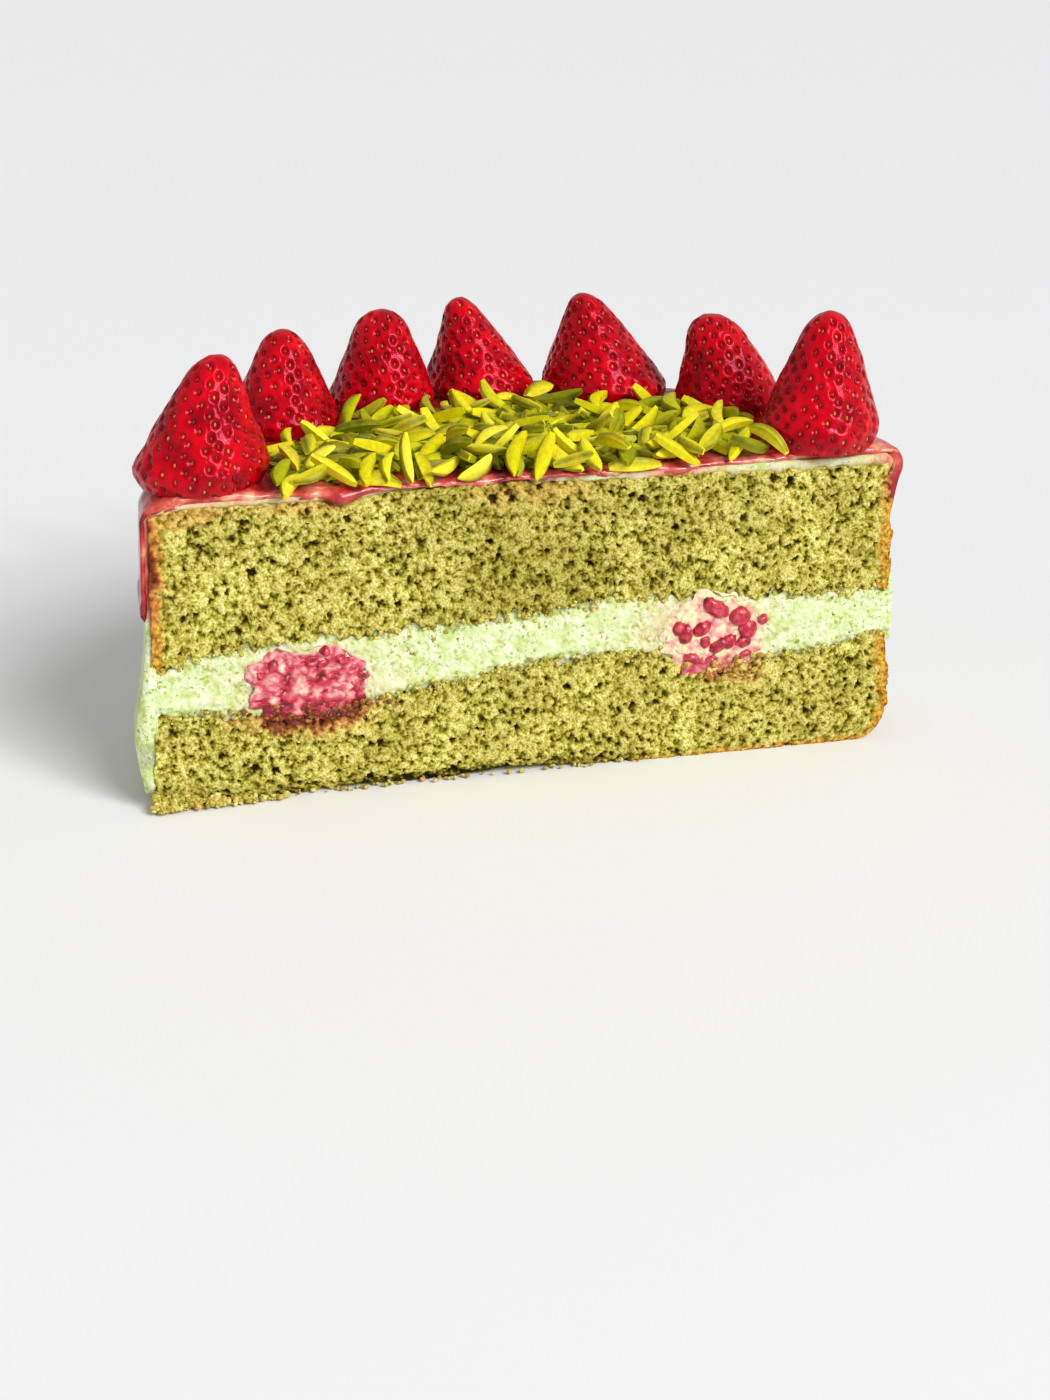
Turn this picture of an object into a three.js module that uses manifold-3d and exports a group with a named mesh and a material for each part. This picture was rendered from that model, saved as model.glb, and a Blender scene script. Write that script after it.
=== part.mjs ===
// Half of a round two-layer sponge cake, standing on its base with the cut face along -Y.
// From the base up: green sponge, pale cream with two crushed raspberries, green sponge, a thin coat
// of the same cream over the top and the round side, and red fruit glaze that runs over the rim.
// Seven strawberries stand on the glaze in a ring, and slivered pistachios lie heaped inside it.
//
// Units are millimetres, +Z is up. While it is being built, the centre of the round cake is at
// x = 0, y = 0 on the base; the finished group is then shifted so that the middle of its footprint
// is the origin. Neighbouring solids keep a small gap, and none overlap.
import * as THREE from "three";
import { ImprovedNoise } from "three/addons/math/ImprovedNoise.js";
import { mergeVertices } from "three/addons/utils/BufferGeometryUtils.js";
import Module from "manifold-3d";

const wasm = await Module();
wasm.setup();

// ---------------------------------------------------------------- driving dimensions

const GAP = 0.3; // between neighbouring solids

const RADIUS = 88.4; // of the sponge, at its foot
const TAPER = 2.8; // how much smaller it is at the top
const SHIFT = { foot: 0.7, top: -0.4 }; // the top stands a little further towards -X than the foot
const SPONGE_TOP = 69.8; // height of the upper sponge
const TOP_FALL = { height: 2.6, width: 12 }; // how it rounds off towards the -X end of the cut
const TOP_LIP = 0.8; // and how much it rises at the +X end
const FOOT_ROUND = { left: 3, right: 9 }; // radius of the bottom edge at the -X and the +X end
const CRUMB_RELIEF = 0.8; // how deep the cut face is torn
const CRUST_RELIEF = 0.2; // unevenness of the baked side under the coat
const BARE_CRUST_RELIEF = 1.0; // and where no coat covers it

// Heights of the cream filling's two faces along the cut, at even steps from the -X end to the +X end.
const FILLING_UNDERSIDE = [21.6, 20.6, 20.6, 24.2, 27.3, 27.8, 23.4, 24.4, 28.0];
const FILLING_UPPERSIDE = [33.4, 37.0, 37.8, 38.4, 39.6, 41.6, 40.4, 39.6, 39.4];

// The coat of cream: thickness on the top at the two ends of the cut, and on the round side.
const COAT_TOP = { left: 0.7, right: 2.0 };
const COAT_SIDE = 0.6; // where it is thinnest
const COAT_SAG = { depth: 3.0, height: 17, spread: 13 }; // it is thicker low down at the -X end
const COAT_FOOT = 4.5; // height of its lower edge
const COAT_BARE_FOOT = 60; // and of that edge at the +X end, where the crust shows
const COAT_BARE_ANGLE = 0.3; // radians of the side that the bare stretch takes up

const GLAZE_TOP = 0.8;
const GLAZE_SIDE = 0.8;
const GLAZE_LIP = 1.1; // extra thickness where it turns over the rim at the +X end
const GLAZE_RUN = { least: 8, most: 24 }; // how far down the side it has run
const RIM_ROUND = { width: 5, fall: 1.6 }; // how the coat and glaze round off at the rim

// Each strawberry: where it stands, its size, how far its tip leans along X and Y, and how blunt it is:
// the share of its girth that the rounded tip makes, where 0 is a cone.
const STRAWBERRIES = [
  { x: -73.0, y: 12.0, width: 28.6, height: 28.2, lean: [4.4, -0.5], blunt: 0.22, turn: 0.4 },
  { x: -48.5, y: 50.3, width: 26.6, height: 24.0, lean: [0.4, 0.3], blunt: 0.25, turn: 1.1 },
  { x: -22.2, y: 64.0, width: 25.2, height: 24.5, lean: [0.4, 0.2], blunt: 0.36, turn: 2.3 },
  { x: 4.7, y: 71.4, width: 27.4, height: 24.6, lean: [-5.3, 1.1], blunt: 0.17, turn: 1.7 },
  { x: 34.7, y: 62.6, width: 32.0, height: 25.9, lean: [-6.0, 1.4], blunt: 0.17, turn: 1.7 },
  { x: 60.6, y: 42.6, width: 25.3, height: 23.6, lean: [-5.4, 1.1], blunt: 0.37, turn: 2.9 },
  { x: 70.2, y: 9.2, width: 28.4, height: 31.0, lean: [0.8, -0.4], blunt: 0.26, turn: 0.9 },
];
const BERRY_BASE = 0.88; // width of the cut base, as a share of the widest girth
const BERRY_SHOULDER = 0.17; // height of the widest girth, as a share of the whole
const BERRY_CAP = 0.12; // height of the rounded tip, as a share of the part above the shoulder
const BERRY_SINK = 0.5; // how far the cut base may follow the glaze down towards the rim
const BERRY_OVAL = 0.04; // how far a section is from round
const BERRY_COLUMNS = 20; // a multiple of 4, so that none lies between two on the seam
const BERRY_ROWS = 10;
const SEED_PIT = 0.7; // depth of the pit that each seed lies in

// The two raspberries that the knife went through: the middle of each on the cut, and its size.
const RASPBERRIES = [
  { name: "raspberry_left", x: -53.0, z: 28.2, width: 28, height: 15.5, depth: 9 },
  { name: "raspberry_right", x: 45.0, z: 31.0, width: 24, height: 18.5, depth: 9 },
];
const DRUPELET_RELIEF = 0.8;
const RASPBERRY_BULGE = 1.0; // how far it stands out of the cut

const HEAP_RADIUS = 61; // the pistachios lie inside this radius
const HEAP_HEIGHT = 4.2; // of the core under the slivers, at its highest
const HEAP_EDGE = 1.0; // and at its edge
const HEAP_PEAK_Y = 36; // how far behind the cut the heap is highest
const HEAP_BUMP = 1.2;
const BERRY_CLEARANCE = 1.0; // between the heap and a strawberry
const SLIVER = { length: [8.0, 11.5], width: [3.0, 4.0], thickness: [2.3, 3.0] };
const SLIVER_SPACING = 8.3;
const SLIVER_OVERHANG = 1.6; // how far a sliver may reach out over the cut

const COLOURS = {
  sponge: 0xb9ad4d,
  cream: 0xe3edb4,
  glaze: 0xa8201f,
  strawberry: 0xb0101c,
  raspberry: 0xb0323f,
  pistachio: 0xa9a818,
};

// ---------------------------------------------------------------- helpers

const { lerp, clamp, smoothstep, seededRandom } = THREE.MathUtils;
const perlin = new ImprovedNoise();

// Smooth noise from -1 to 1, with features about one size apart.
const noise = (x, y, z, size) => perlin.noise(x / size, y / size, z / size);

const randomBetween = ([low, high]) => lerp(low, high, seededRandom());

// Moves every vertex of a geometry to the point that move(x, y, z) returns.
function bend(geometry, move) {
  const position = geometry.getAttribute("position");
  for (let i = 0; i < position.count; i++) {
    position.setXYZ(i, ...move(position.getX(i), position.getY(i), position.getZ(i)));
  }
  return geometry;
}

// A closed geometry as a solid that can be joined and cut.
function solid(geometry) {
  const bare = new THREE.BufferGeometry();
  bare.setAttribute("position", geometry.getAttribute("position"));
  bare.setIndex(geometry.index);
  const merged = mergeVertices(bare, 1e-3);
  return new wasm.Manifold(
    new wasm.Mesh({
      numProp: 3,
      vertProperties: merged.getAttribute("position").array,
      triVerts: new Uint32Array(merged.index.array),
    }),
  );
}

// The surface of such a solid. Only its largest body is kept, because a cut can leave a loose scrap.
function geometryOf(body) {
  const largest = body.decompose().reduce((a, b) => (b.volume() > a.volume() ? b : a));
  const mesh = largest.getMesh();
  const geometry = new THREE.BufferGeometry();
  geometry.setAttribute("position", new THREE.BufferAttribute(mesh.vertProperties, 3));
  geometry.setIndex(new THREE.BufferAttribute(mesh.triVerts, 1));
  geometry.computeVertexNormals();
  return geometry;
}

const union = (bodies) => bodies.reduce((whole, body) => whole.add(body));

function piece(name, geometry, colour, roughness) {
  const material = new THREE.MeshStandardMaterial({ color: colour, roughness, metalness: 0 });
  const mesh = new THREE.Mesh(geometry, material);
  mesh.name = name;
  return mesh;
}

// Splits the underside of a box along the same diagonals as its upper side, so that two slabs with a
// gap between them keep it all over.
function matchDiagonals(box) {
  const { start, count } = box.groups[5];
  for (let i = start; i < start + count; i += 6) {
    box.index.setX(i + 2, box.index.getX(i + 4));
    box.index.setX(i + 3, box.index.getX(i));
  }
  return box;
}

// A slab of the half-round cake. It starts as a box whose plan, 2 wide and 1 deep, is bent into a
// half disc. edge(angle, z) is the outer radius, low(x, y) and high(x, y) are the two faces, and
// cut(x, z) is how far a point of the cut face lies behind the cut.
function halfDisc({ edge, low, high, cut = () => 0, columns, rows, tiers }) {
  const box = matchDiagonals(new THREE.BoxGeometry(2, 1, 1, columns, rows, tiers));
  return bend(box.translate(0, 0.5, 0.5), (u, plain, w) => {
    const v = Math.sin((plain * Math.PI) / 2); // narrower rows towards the rim
    const across = u * Math.sqrt(1 - (v * v) / 2);
    const deep = v * Math.sqrt(1 - (u * u) / 2);
    const angle = Math.atan2(deep, across);
    const height = lerp(low(across * RADIUS, deep * RADIUS), high(across * RADIUS, deep * RADIUS), w);
    const radius = edge(angle, height);
    const x = across * radius;
    const y = deep * radius;
    const z = lerp(low(x, y), high(x, y), w);
    return [x, v === 0 ? cut(x, z) : y, z];
  });
}

// A wall that follows the round side. inner and outer(angle, z) are its radii, foot and head(angle)
// its lower and upper edges.
function roundWall({ inner, outer, foot, head, columns, tiers }) {
  const box = new THREE.BoxGeometry(1, 1, 1, columns, 1, tiers).translate(0.5, 0.5, 0.5);
  return bend(box, (u, v, w) => {
    const angle = Math.PI * (1 - u);
    const z = lerp(foot(angle), head(angle), w);
    const radius = lerp(inner(angle, z), outer(angle, z), v);
    return [radius * Math.cos(angle), radius * Math.sin(angle), z];
  });
}

// A point on a row of heights that are spread evenly along the cut, smoothed between them.
function alongCut(heights, x) {
  const place = clamp((x + RADIUS) / (2 * RADIUS), 0, 1) * (heights.length - 1);
  const from = Math.min(Math.floor(place), heights.length - 2);
  return lerp(heights[from], heights[from + 1], smoothstep(place - from, 0, 1));
}

// ---------------------------------------------------------------- where the layers meet

// The share of the way from the -X end of the cut to the +X end.
const rightward = (x) => clamp((x + RADIUS) / (2 * RADIUS), 0, 1);
const fromRim = (x, y) => RADIUS - Math.hypot(x, y);

const fillingBase = (x) => alongCut(FILLING_UNDERSIDE, x);
const fillingTop = (x) => alongCut(FILLING_UPPERSIDE, x);

function spongeTop(x, y) {
  const nearRim = 1 - clamp(fromRim(x, y) / TOP_FALL.width, 0, 1);
  const fall = TOP_FALL.height * (1 - smoothstep(rightward(x), 0.05, 0.6));
  return SPONGE_TOP + nearRim ** 2 * (TOP_LIP * rightward(x) ** 4 - fall);
}

// How far the coat and the glaze have each rounded off near the rim.
const rimFall = (x, y) => (RIM_ROUND.fall / 2) * (1 - clamp(fromRim(x, y) / RIM_ROUND.width, 0, 1)) ** 2;
const coatUnderside = (x, y) => spongeTop(x, y) + GAP;
const coatTop = (x, y) =>
  coatUnderside(x, y) + Math.max(0.5, lerp(COAT_TOP.left, COAT_TOP.right, rightward(x)) - rimFall(x, y));
const glazeTop = (x, y) => coatTop(x, y) + GAP + GLAZE_TOP;

// The baked side, which narrows towards the top.
function bakedRadius(angle, z) {
  const up = z / SPONGE_TOP;
  return RADIUS - TAPER * up + lerp(SHIFT.foot, SHIFT.top, up) * Math.cos(angle);
}

// 1 at the +X end of the round side, 0 past the bare stretch.
const bareness = (angle) => 1 - smoothstep(angle, 0, COAT_BARE_ANGLE);

// The same side with its unevenness, which is greater where no coat covers it.
function crustRadius(angle, z) {
  const x = RADIUS * Math.cos(angle);
  const y = RADIUS * Math.sin(angle);
  const bare = bareness(2 * angle) * (1 - smoothstep(z, COAT_BARE_FOOT - 8, COAT_BARE_FOOT - 2));
  const relief = lerp(CRUST_RELIEF, BARE_CRUST_RELIEF, bare);
  return bakedRadius(angle, z) + relief * noise(x + 40, y, z, 6);
}

const coatInside = (angle, z) => bakedRadius(angle, z) + CRUST_RELIEF + GAP;

function coatRadius(angle, z) {
  const end = smoothstep(angle, Math.PI * 0.6, Math.PI);
  const sag = Math.exp(-(((z - COAT_SAG.height) / COAT_SAG.spread) ** 2));
  return coatInside(angle, z) + COAT_SIDE + COAT_SAG.depth * lerp(0.3, 1, end) * sag;
}

const coatFoot = (angle) =>
  lerp(COAT_FOOT, COAT_BARE_FOOT, bareness(angle)) + 1.2 * noise(5 * angle, 3, 0, 1);

// The glaze has run down the side in drips, furthest at the -X end.
function glazeFoot(angle) {
  const waves = 0.5 + 0.5 * Math.sin(11 * angle + 0.7) * Math.cos(4.2 * angle);
  const reach = Math.max(waves * smoothstep(angle, 0.1, 0.5), smoothstep(angle, 2.9, 3.1));
  return SPONGE_TOP - lerp(GLAZE_RUN.least, GLAZE_RUN.most, reach);
}

function glazeRadius(angle, z) {
  const body = smoothstep(z, glazeFoot(angle), glazeFoot(angle) + 5);
  const lip = (1 - smoothstep(angle, 0, 1)) * smoothstep(z, SPONGE_TOP - 6, SPONGE_TOP);
  return coatRadius(angle, z) + GAP + lerp(0.4, GLAZE_SIDE, body) + GLAZE_LIP * lip;
}

// ---------------------------------------------------------------- sponge, filling, coat, glaze

// The torn crumb of a cut face: pushed in here and there, never proud of the cut.
const tornCrumb = (x, z) => CRUMB_RELIEF * (0.5 + 0.5 * noise(x, 7, z, 3.3));

// The round bottom edge, as a loss of radius near the base.
function footRound(angle, z) {
  const round = lerp(FOOT_ROUND.left, FOOT_ROUND.right, (1 + Math.cos(angle)) / 2);
  return round * (1 - Math.sqrt(1 - (1 - clamp(z / round, 0, 1)) ** 2));
}

function lowerSponge() {
  return halfDisc({
    edge: (angle, z) => crustRadius(angle, z) - footRound(angle, z),
    low: () => 0,
    high: (x) => fillingBase(x) - GAP,
    cut: tornCrumb,
    columns: 26,
    rows: 4,
    tiers: 5,
  });
}

function filling() {
  return halfDisc({
    edge: crustRadius,
    low: fillingBase,
    high: fillingTop,
    cut: (x, z) => 0.5 * tornCrumb(x, z),
    columns: 26,
    rows: 4,
    tiers: 2,
  });
}

function upperSponge() {
  return halfDisc({
    edge: crustRadius,
    low: (x) => fillingTop(x) + GAP,
    high: spongeTop,
    cut: tornCrumb,
    columns: 26,
    rows: 4,
    tiers: 6,
  });
}

function coat() {
  const lid = halfDisc({
    edge: coatRadius,
    low: coatUnderside,
    high: coatTop,
    columns: 24,
    rows: 4,
    tiers: 1,
  });
  const wall = roundWall({
    inner: coatInside,
    outer: coatRadius,
    foot: coatFoot,
    head: (angle) => coatUnderside(RADIUS * Math.cos(angle), RADIUS * Math.sin(angle)) + 0.25,
    columns: 30,
    tiers: 4,
  });
  return geometryOf(solid(lid).add(solid(wall)));
}

function glaze() {
  const lid = halfDisc({
    edge: glazeRadius,
    low: (x, y) => coatTop(x, y) + GAP,
    high: glazeTop,
    columns: 24,
    rows: 4,
    tiers: 1,
  });
  const wall = roundWall({
    inner: (angle, z) => coatRadius(angle, z) + GAP,
    outer: glazeRadius,
    foot: glazeFoot,
    head: (angle) => coatTop(RADIUS * Math.cos(angle), RADIUS * Math.sin(angle)) + GAP + 0.4,
    columns: 44,
    tiers: 2,
  });
  return geometryOf(solid(lid).add(solid(wall)));
}

// ---------------------------------------------------------------- strawberries

// The girth of a strawberry at height t, from 0 at the cut base to 1 at the tip: a cone whose tip is
// rounded off.
function berryGirth(t, blunt) {
  if (t < BERRY_SHOULDER) {
    return lerp(BERRY_BASE, 1, Math.sin((Math.PI / 2) * (t / BERRY_SHOULDER)));
  }
  const fromTip = 1 - (t - BERRY_SHOULDER) / (1 - BERRY_SHOULDER);
  const cap = Math.sqrt(1 - (1 - Math.min(fromTip / BERRY_CAP, 1)) ** 2);
  return lerp(fromTip ** 0.95, cap, blunt);
}

// A strawberry, tip up, standing on the glaze. The seed pits are staggered from row to row.
function strawberry(berry) {
  const rows = [];
  for (let row = 0; row < BERRY_ROWS; row++) {
    rows.push(Math.sin((Math.PI / 2) * (row / BERRY_ROWS)) ** 1.25);
  }
  const outline = rows.map((t) => new THREE.Vector2(berryGirth(t, berry.blunt), t));
  const profile = [new THREE.Vector2(0, 0), ...outline, new THREE.Vector2(0, 1)];
  const lathe = new THREE.LatheGeometry(profile, BERRY_COLUMNS).rotateX(Math.PI / 2);
  const ground = glazeTop(berry.x, berry.y);
  return bend(lathe, (u, v, up) => {
    const t = clamp(up, 0, 1);
    const angle = Math.atan2(v, u);
    const column = Math.round((angle / (2 * Math.PI)) * BERRY_COLUMNS);
    const row = rows.findIndex((height) => Math.abs(height - t) < 1e-5);
    const pit = row > 0 && row % 2 === 0 && (column + row / 2) % 2 === 0 ? SEED_PIT : 0;
    const oval = 1 + BERRY_OVAL * Math.cos(2 * (angle - berry.turn));
    const radius = Math.max(0, (Math.hypot(u, v) * oval * berry.width) / 2 - pit);
    const x = berry.x + radius * Math.cos(angle) + berry.lean[0] * t ** 1.3;
    const y = berry.y + radius * Math.sin(angle) + berry.lean[1] * t ** 1.3;
    const foot = Math.max(glazeTop(x, y), ground - BERRY_SINK);
    return [x, y, lerp(foot, ground, Math.min(1, t * 4)) + GAP + t * berry.height];
  });
}

// ---------------------------------------------------------------- raspberries in the filling

// A crushed raspberry: a flattened ball with staggered lumps, which stands a little out of the cut.
// grow makes the same shape larger, for the hollow that it lies in.
function raspberry(berry, grow) {
  const columns = 16;
  const rows = 10;
  const ball = new THREE.SphereGeometry(1, columns, rows).rotateZ(Math.PI / 2);
  return bend(ball, (u, v, w) => {
    const column = Math.round((Math.atan2(v, w) / (2 * Math.PI)) * columns);
    const row = Math.round((Math.acos(clamp(u, -1, 1)) / Math.PI) * rows);
    const raised = row % 2 === 1 && (column + (row - 1) / 2) % 2 === 0;
    const out = grow + (raised ? DRUPELET_RELIEF : 0);
    const x = berry.x + u * (berry.width / 2 + out);
    const y = v * ((v > 0 ? berry.depth : RASPBERRY_BULGE) + out);
    const z = berry.z + w * (berry.height / 2 + out);
    return [x, y, z];
  });
}

// ---------------------------------------------------------------- pistachios

function heapHeight(x, y) {
  const fromPeak = Math.hypot(x * 0.75, y - HEAP_PEAK_Y) / HEAP_RADIUS;
  const swell = lerp(HEAP_EDGE, HEAP_HEIGHT, 1 - smoothstep(fromPeak, 0.15, 0.8));
  return swell + HEAP_BUMP * (0.5 + 0.5 * noise(x, y, 5, 9));
}

// The core under the slivers.
function heapCore() {
  return halfDisc({
    edge: () => HEAP_RADIUS,
    low: (x, y) => glazeTop(x, y) + GAP,
    high: (x, y) => glazeTop(x, y) + GAP + heapHeight(x, y),
    cut: () => 2,
    columns: 14,
    rows: 6,
    tiers: 1,
  });
}

// The room that a strawberry takes up in the heap.
function berryRoom(berry) {
  const wide = berry.width / 2 + BERRY_CLEARANCE;
  const narrow = wide * 0.96;
  const height = 0.5 * berry.height;
  const room = new THREE.CylinderGeometry(wide, narrow, height, 16).rotateX(Math.PI / 2);
  room.translate(berry.x, berry.y, glazeTop(berry.x, berry.y) + height / 2 - 0.2);
  return solid(room);
}

// True where a sliver would run into a strawberry.
function meetsBerry(x, y, heading, length) {
  const tips = [-0.5, 0, 0.5].map((share) => [
    x + share * length * Math.cos(heading),
    y + share * length * Math.sin(heading),
  ]);
  return STRAWBERRIES.some((berry) =>
    tips.some(([tx, ty]) => Math.hypot(tx - berry.x, ty - berry.y) < berry.width / 2 + 2.5),
  );
}

// A four-sided spindle with blunt ends, 1 long, 1 wide and 1 thick, along X.
function bluntSpindle() {
  const spindle = new THREE.SphereGeometry(0.5, 4, 3).rotateZ(Math.PI / 2).rotateX(Math.PI / 4);
  return bend(spindle, (x, y, z) => [Math.sign(x) * Math.sqrt(Math.abs(x) / 2), y, z]);
}

// Slivers on a grid of staggered rows, each nudged and turned by a seeded draw.
function slivers() {
  seededRandom(7);
  const laid = [];
  const rowSpacing = SLIVER_SPACING * 0.87;
  for (let row = 0; row * rowSpacing < HEAP_RADIUS + SLIVER_SPACING; row++) {
    for (let column = -9; column <= 9; column++) {
      const x = (column + (row % 2) / 2) * SLIVER_SPACING + randomBetween([-1.6, 1.6]);
      const y = 2.6 + row * rowSpacing + randomBetween([-1.2, 1.2]);
      const length = randomBetween(SLIVER.length);
      const width = randomBetween(SLIVER.width);
      const thickness = randomBetween(SLIVER.thickness);
      const heading = randomBetween([0, Math.PI]);
      const tip = randomBetween([-0.35, 0.35]);
      const overhang = (length / 2) * Math.sin(heading) - y;
      const outside = Math.hypot(x, y) > HEAP_RADIUS + 1 || overhang > SLIVER_OVERHANG;
      if (outside || meetsBerry(x, y, heading, length)) continue;
      const sliver = bluntSpindle().scale(length, width, thickness).rotateY(tip).rotateZ(heading);
      const lowest = thickness / 2 + (length / 2) * Math.abs(Math.sin(tip));
      const lift = Math.max(heapHeight(x, y) + 0.3 * thickness, lowest);
      sliver.translate(x, y, glazeTop(x, y) + GAP + lift);
      laid.push(solid(sliver));
    }
  }
  return laid;
}

function pistachios() {
  const core = solid(heapCore()).subtract(union(STRAWBERRIES.map(berryRoom)));
  return geometryOf(union([core, ...slivers()]));
}

// ---------------------------------------------------------------- the whole

const cake = new THREE.Group();
const hollows = union(RASPBERRIES.map((berry) => solid(raspberry(berry, GAP))));
const hollowed = (geometry) => geometryOf(solid(geometry).subtract(hollows));

cake.add(piece("sponge_bottom", hollowed(lowerSponge()), COLOURS.sponge, 0.95));
cake.add(piece("cream_filling", hollowed(filling()), COLOURS.cream, 0.6));
cake.add(piece("sponge_top", hollowed(upperSponge()), COLOURS.sponge, 0.95));
cake.add(piece("cream_coat", coat(), COLOURS.cream, 0.5));
cake.add(piece("glaze", glaze(), COLOURS.glaze, 0.15));
for (const berry of RASPBERRIES) {
  cake.add(piece(berry.name, raspberry(berry, 0), COLOURS.raspberry, 0.4));
}
STRAWBERRIES.forEach((berry, i) => {
  cake.add(piece(`strawberry_${i + 1}`, strawberry(berry), COLOURS.strawberry, 0.25));
});
cake.add(piece("pistachios", pistachios(), COLOURS.pistachio, 0.6));

// The middle of the footprint becomes the origin.
const middle = new THREE.Box3().setFromObject(cake).getCenter(new THREE.Vector3());
cake.position.set(-middle.x, -middle.y, 0);

export default cake;
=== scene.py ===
# %% [markdown]
# # Half of a round sponge cake
# A green sponge cake of two layers, cut straight across. Between the layers lies pale cream with two
# raspberries that the knife went through. A thin coat of the same cream covers the top and the round
# side, red fruit glaze runs over the rim, and seven strawberries ring a heap of slivered pistachios.
#
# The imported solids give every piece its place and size. Each piece here takes over from one of them
# and adds what a baker would notice: open crumb, seeds in their pits, single slivers, loose crumbs.

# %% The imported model
import itertools
import math
import random

import bmesh
import bpy
import numpy as np
from mathutils import Matrix, Vector
from mathutils.kdtree import KDTree


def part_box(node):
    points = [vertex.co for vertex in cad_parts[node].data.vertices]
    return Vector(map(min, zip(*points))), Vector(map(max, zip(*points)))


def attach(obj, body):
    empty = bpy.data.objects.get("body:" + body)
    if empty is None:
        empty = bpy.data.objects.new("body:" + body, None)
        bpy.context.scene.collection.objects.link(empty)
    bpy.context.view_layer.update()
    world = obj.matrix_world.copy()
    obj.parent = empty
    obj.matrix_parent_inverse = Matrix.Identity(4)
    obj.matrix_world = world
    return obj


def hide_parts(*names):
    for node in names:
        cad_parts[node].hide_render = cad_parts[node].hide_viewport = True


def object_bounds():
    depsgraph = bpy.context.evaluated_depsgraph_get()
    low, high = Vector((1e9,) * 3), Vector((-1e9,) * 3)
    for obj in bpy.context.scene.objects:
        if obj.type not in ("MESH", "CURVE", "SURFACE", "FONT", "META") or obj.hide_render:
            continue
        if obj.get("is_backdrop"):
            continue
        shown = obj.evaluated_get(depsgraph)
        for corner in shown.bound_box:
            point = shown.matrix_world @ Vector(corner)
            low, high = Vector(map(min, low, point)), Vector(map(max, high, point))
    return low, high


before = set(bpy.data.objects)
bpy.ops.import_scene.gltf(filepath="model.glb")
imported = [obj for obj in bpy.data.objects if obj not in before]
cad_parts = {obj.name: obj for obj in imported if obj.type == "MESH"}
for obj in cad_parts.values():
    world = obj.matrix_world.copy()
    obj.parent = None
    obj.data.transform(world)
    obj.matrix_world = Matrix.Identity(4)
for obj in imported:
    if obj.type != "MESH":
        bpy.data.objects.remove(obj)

cad_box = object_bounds()
print("the packed model has", len(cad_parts), "nodes:", ", ".join(sorted(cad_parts)))

# %% [markdown]
# ## Working in millimetres
# A cake is easiest to describe from the middle of its circle: x to the right along the cut, y away
# from the cut, z up, all in millimetres. One matrix then takes every finished mesh into the frame,
# which is in metres and has its origin in the middle of the footprint. The cut face of the glaze is
# flat, so its lowest y tells where the cut lies.

# %% From the cake's middle into the frame
MM = 0.001
MIDDLE_X = 1.374  # the middle of the circle lies this far right of the frame's origin
CUT_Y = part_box("glaze")[0].y / MM
TO_FRAME = Matrix.Scale(MM, 4) @ Matrix.Translation((MIDDLE_X, CUT_Y, 0))
print(f"the cut lies at y = {CUT_Y:.3f} mm")

# %% [markdown]
# ## Camera, floor and light
# The camera stands 46 cm from the cake, a little to the left, and looks down by 22 degrees. Its lens
# is given for the long side of the picture, 1400 pixels, with a film of 36 mm. A wide pale floor
# fills the whole background.
#
# Wet fruit is all highlights and a sponge all small shadows, so one kind of lamp won't do. A sun as
# wide as a window, in front on the right, shapes the crumb. A small lamp beside it puts glints on
# the fruit, a weak one on the left opens the shadows, and a pale sky does the rest.

# %% Camera
FOCAL_PIXELS = 2150
PICTURE_HEIGHT = 1400
FILM = 36
CAMERA_PLACE = (-123.4, -442.7, 207.5)
LOOKS_RIGHT = math.radians(15.29)
LOOKS_DOWN = math.radians(22.35)
LEAN = math.radians(0.7)

scene = bpy.context.scene
lens = bpy.data.cameras.new("camera")
lens.sensor_fit = "VERTICAL"
lens.sensor_height = FILM
lens.lens = FOCAL_PIXELS / PICTURE_HEIGHT * FILM
lens.clip_start = 0.01
camera = bpy.data.objects.new("camera", lens)
turn = Matrix.Rotation(-LOOKS_RIGHT, 4, "Z") @ Matrix.Rotation(math.pi / 2 - LOOKS_DOWN, 4, "X")
stand = Matrix.Translation(TO_FRAME @ Vector(CAMERA_PLACE))
camera.matrix_world = stand @ turn @ Matrix.Rotation(LEAN, 4, "Z")
scene.collection.objects.link(camera)
scene.camera = camera
print(f"lens of {lens.lens:.1f} mm")

# %% Floor, lamps and sky
FLOOR_REACH = 6.0
AIM = Vector((0, 0, 0.05))  # the lamps are placed and aimed in metres


def srgb(red, green, blue):
    """A colour given in steps from 0 to 255, as the linear values that a shader takes."""
    steps = [value / 255 for value in (red, green, blue)]
    return [v / 12.92 if v < 0.04045 else ((v + 0.055) / 1.055) ** 2.4 for v in steps] + [1]


def shader_of(finish):
    return finish.node_tree.nodes["Principled BSDF"]


def new_finish(name, **sockets):
    """A material with one shader. An underscore stands for the space in the name of a socket."""
    finish = bpy.data.materials.new(name)
    finish.use_nodes = True
    for socket, value in sockets.items():
        shader_of(finish).inputs[socket.replace("_", " ")].default_value = value
    return finish


def shine(name, kind, place, **settings):
    """A light that is aimed at the cake."""
    light = bpy.data.lights.new(name, kind)
    for setting, value in settings.items():
        setattr(light, setting, value)
    lamp = bpy.data.objects.new(name, light)
    aim = (AIM - Vector(place)).to_track_quat("-Z", "Y").to_matrix().to_4x4()
    lamp.matrix_world = Matrix.Translation(place) @ aim
    scene.collection.objects.link(lamp)


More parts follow.
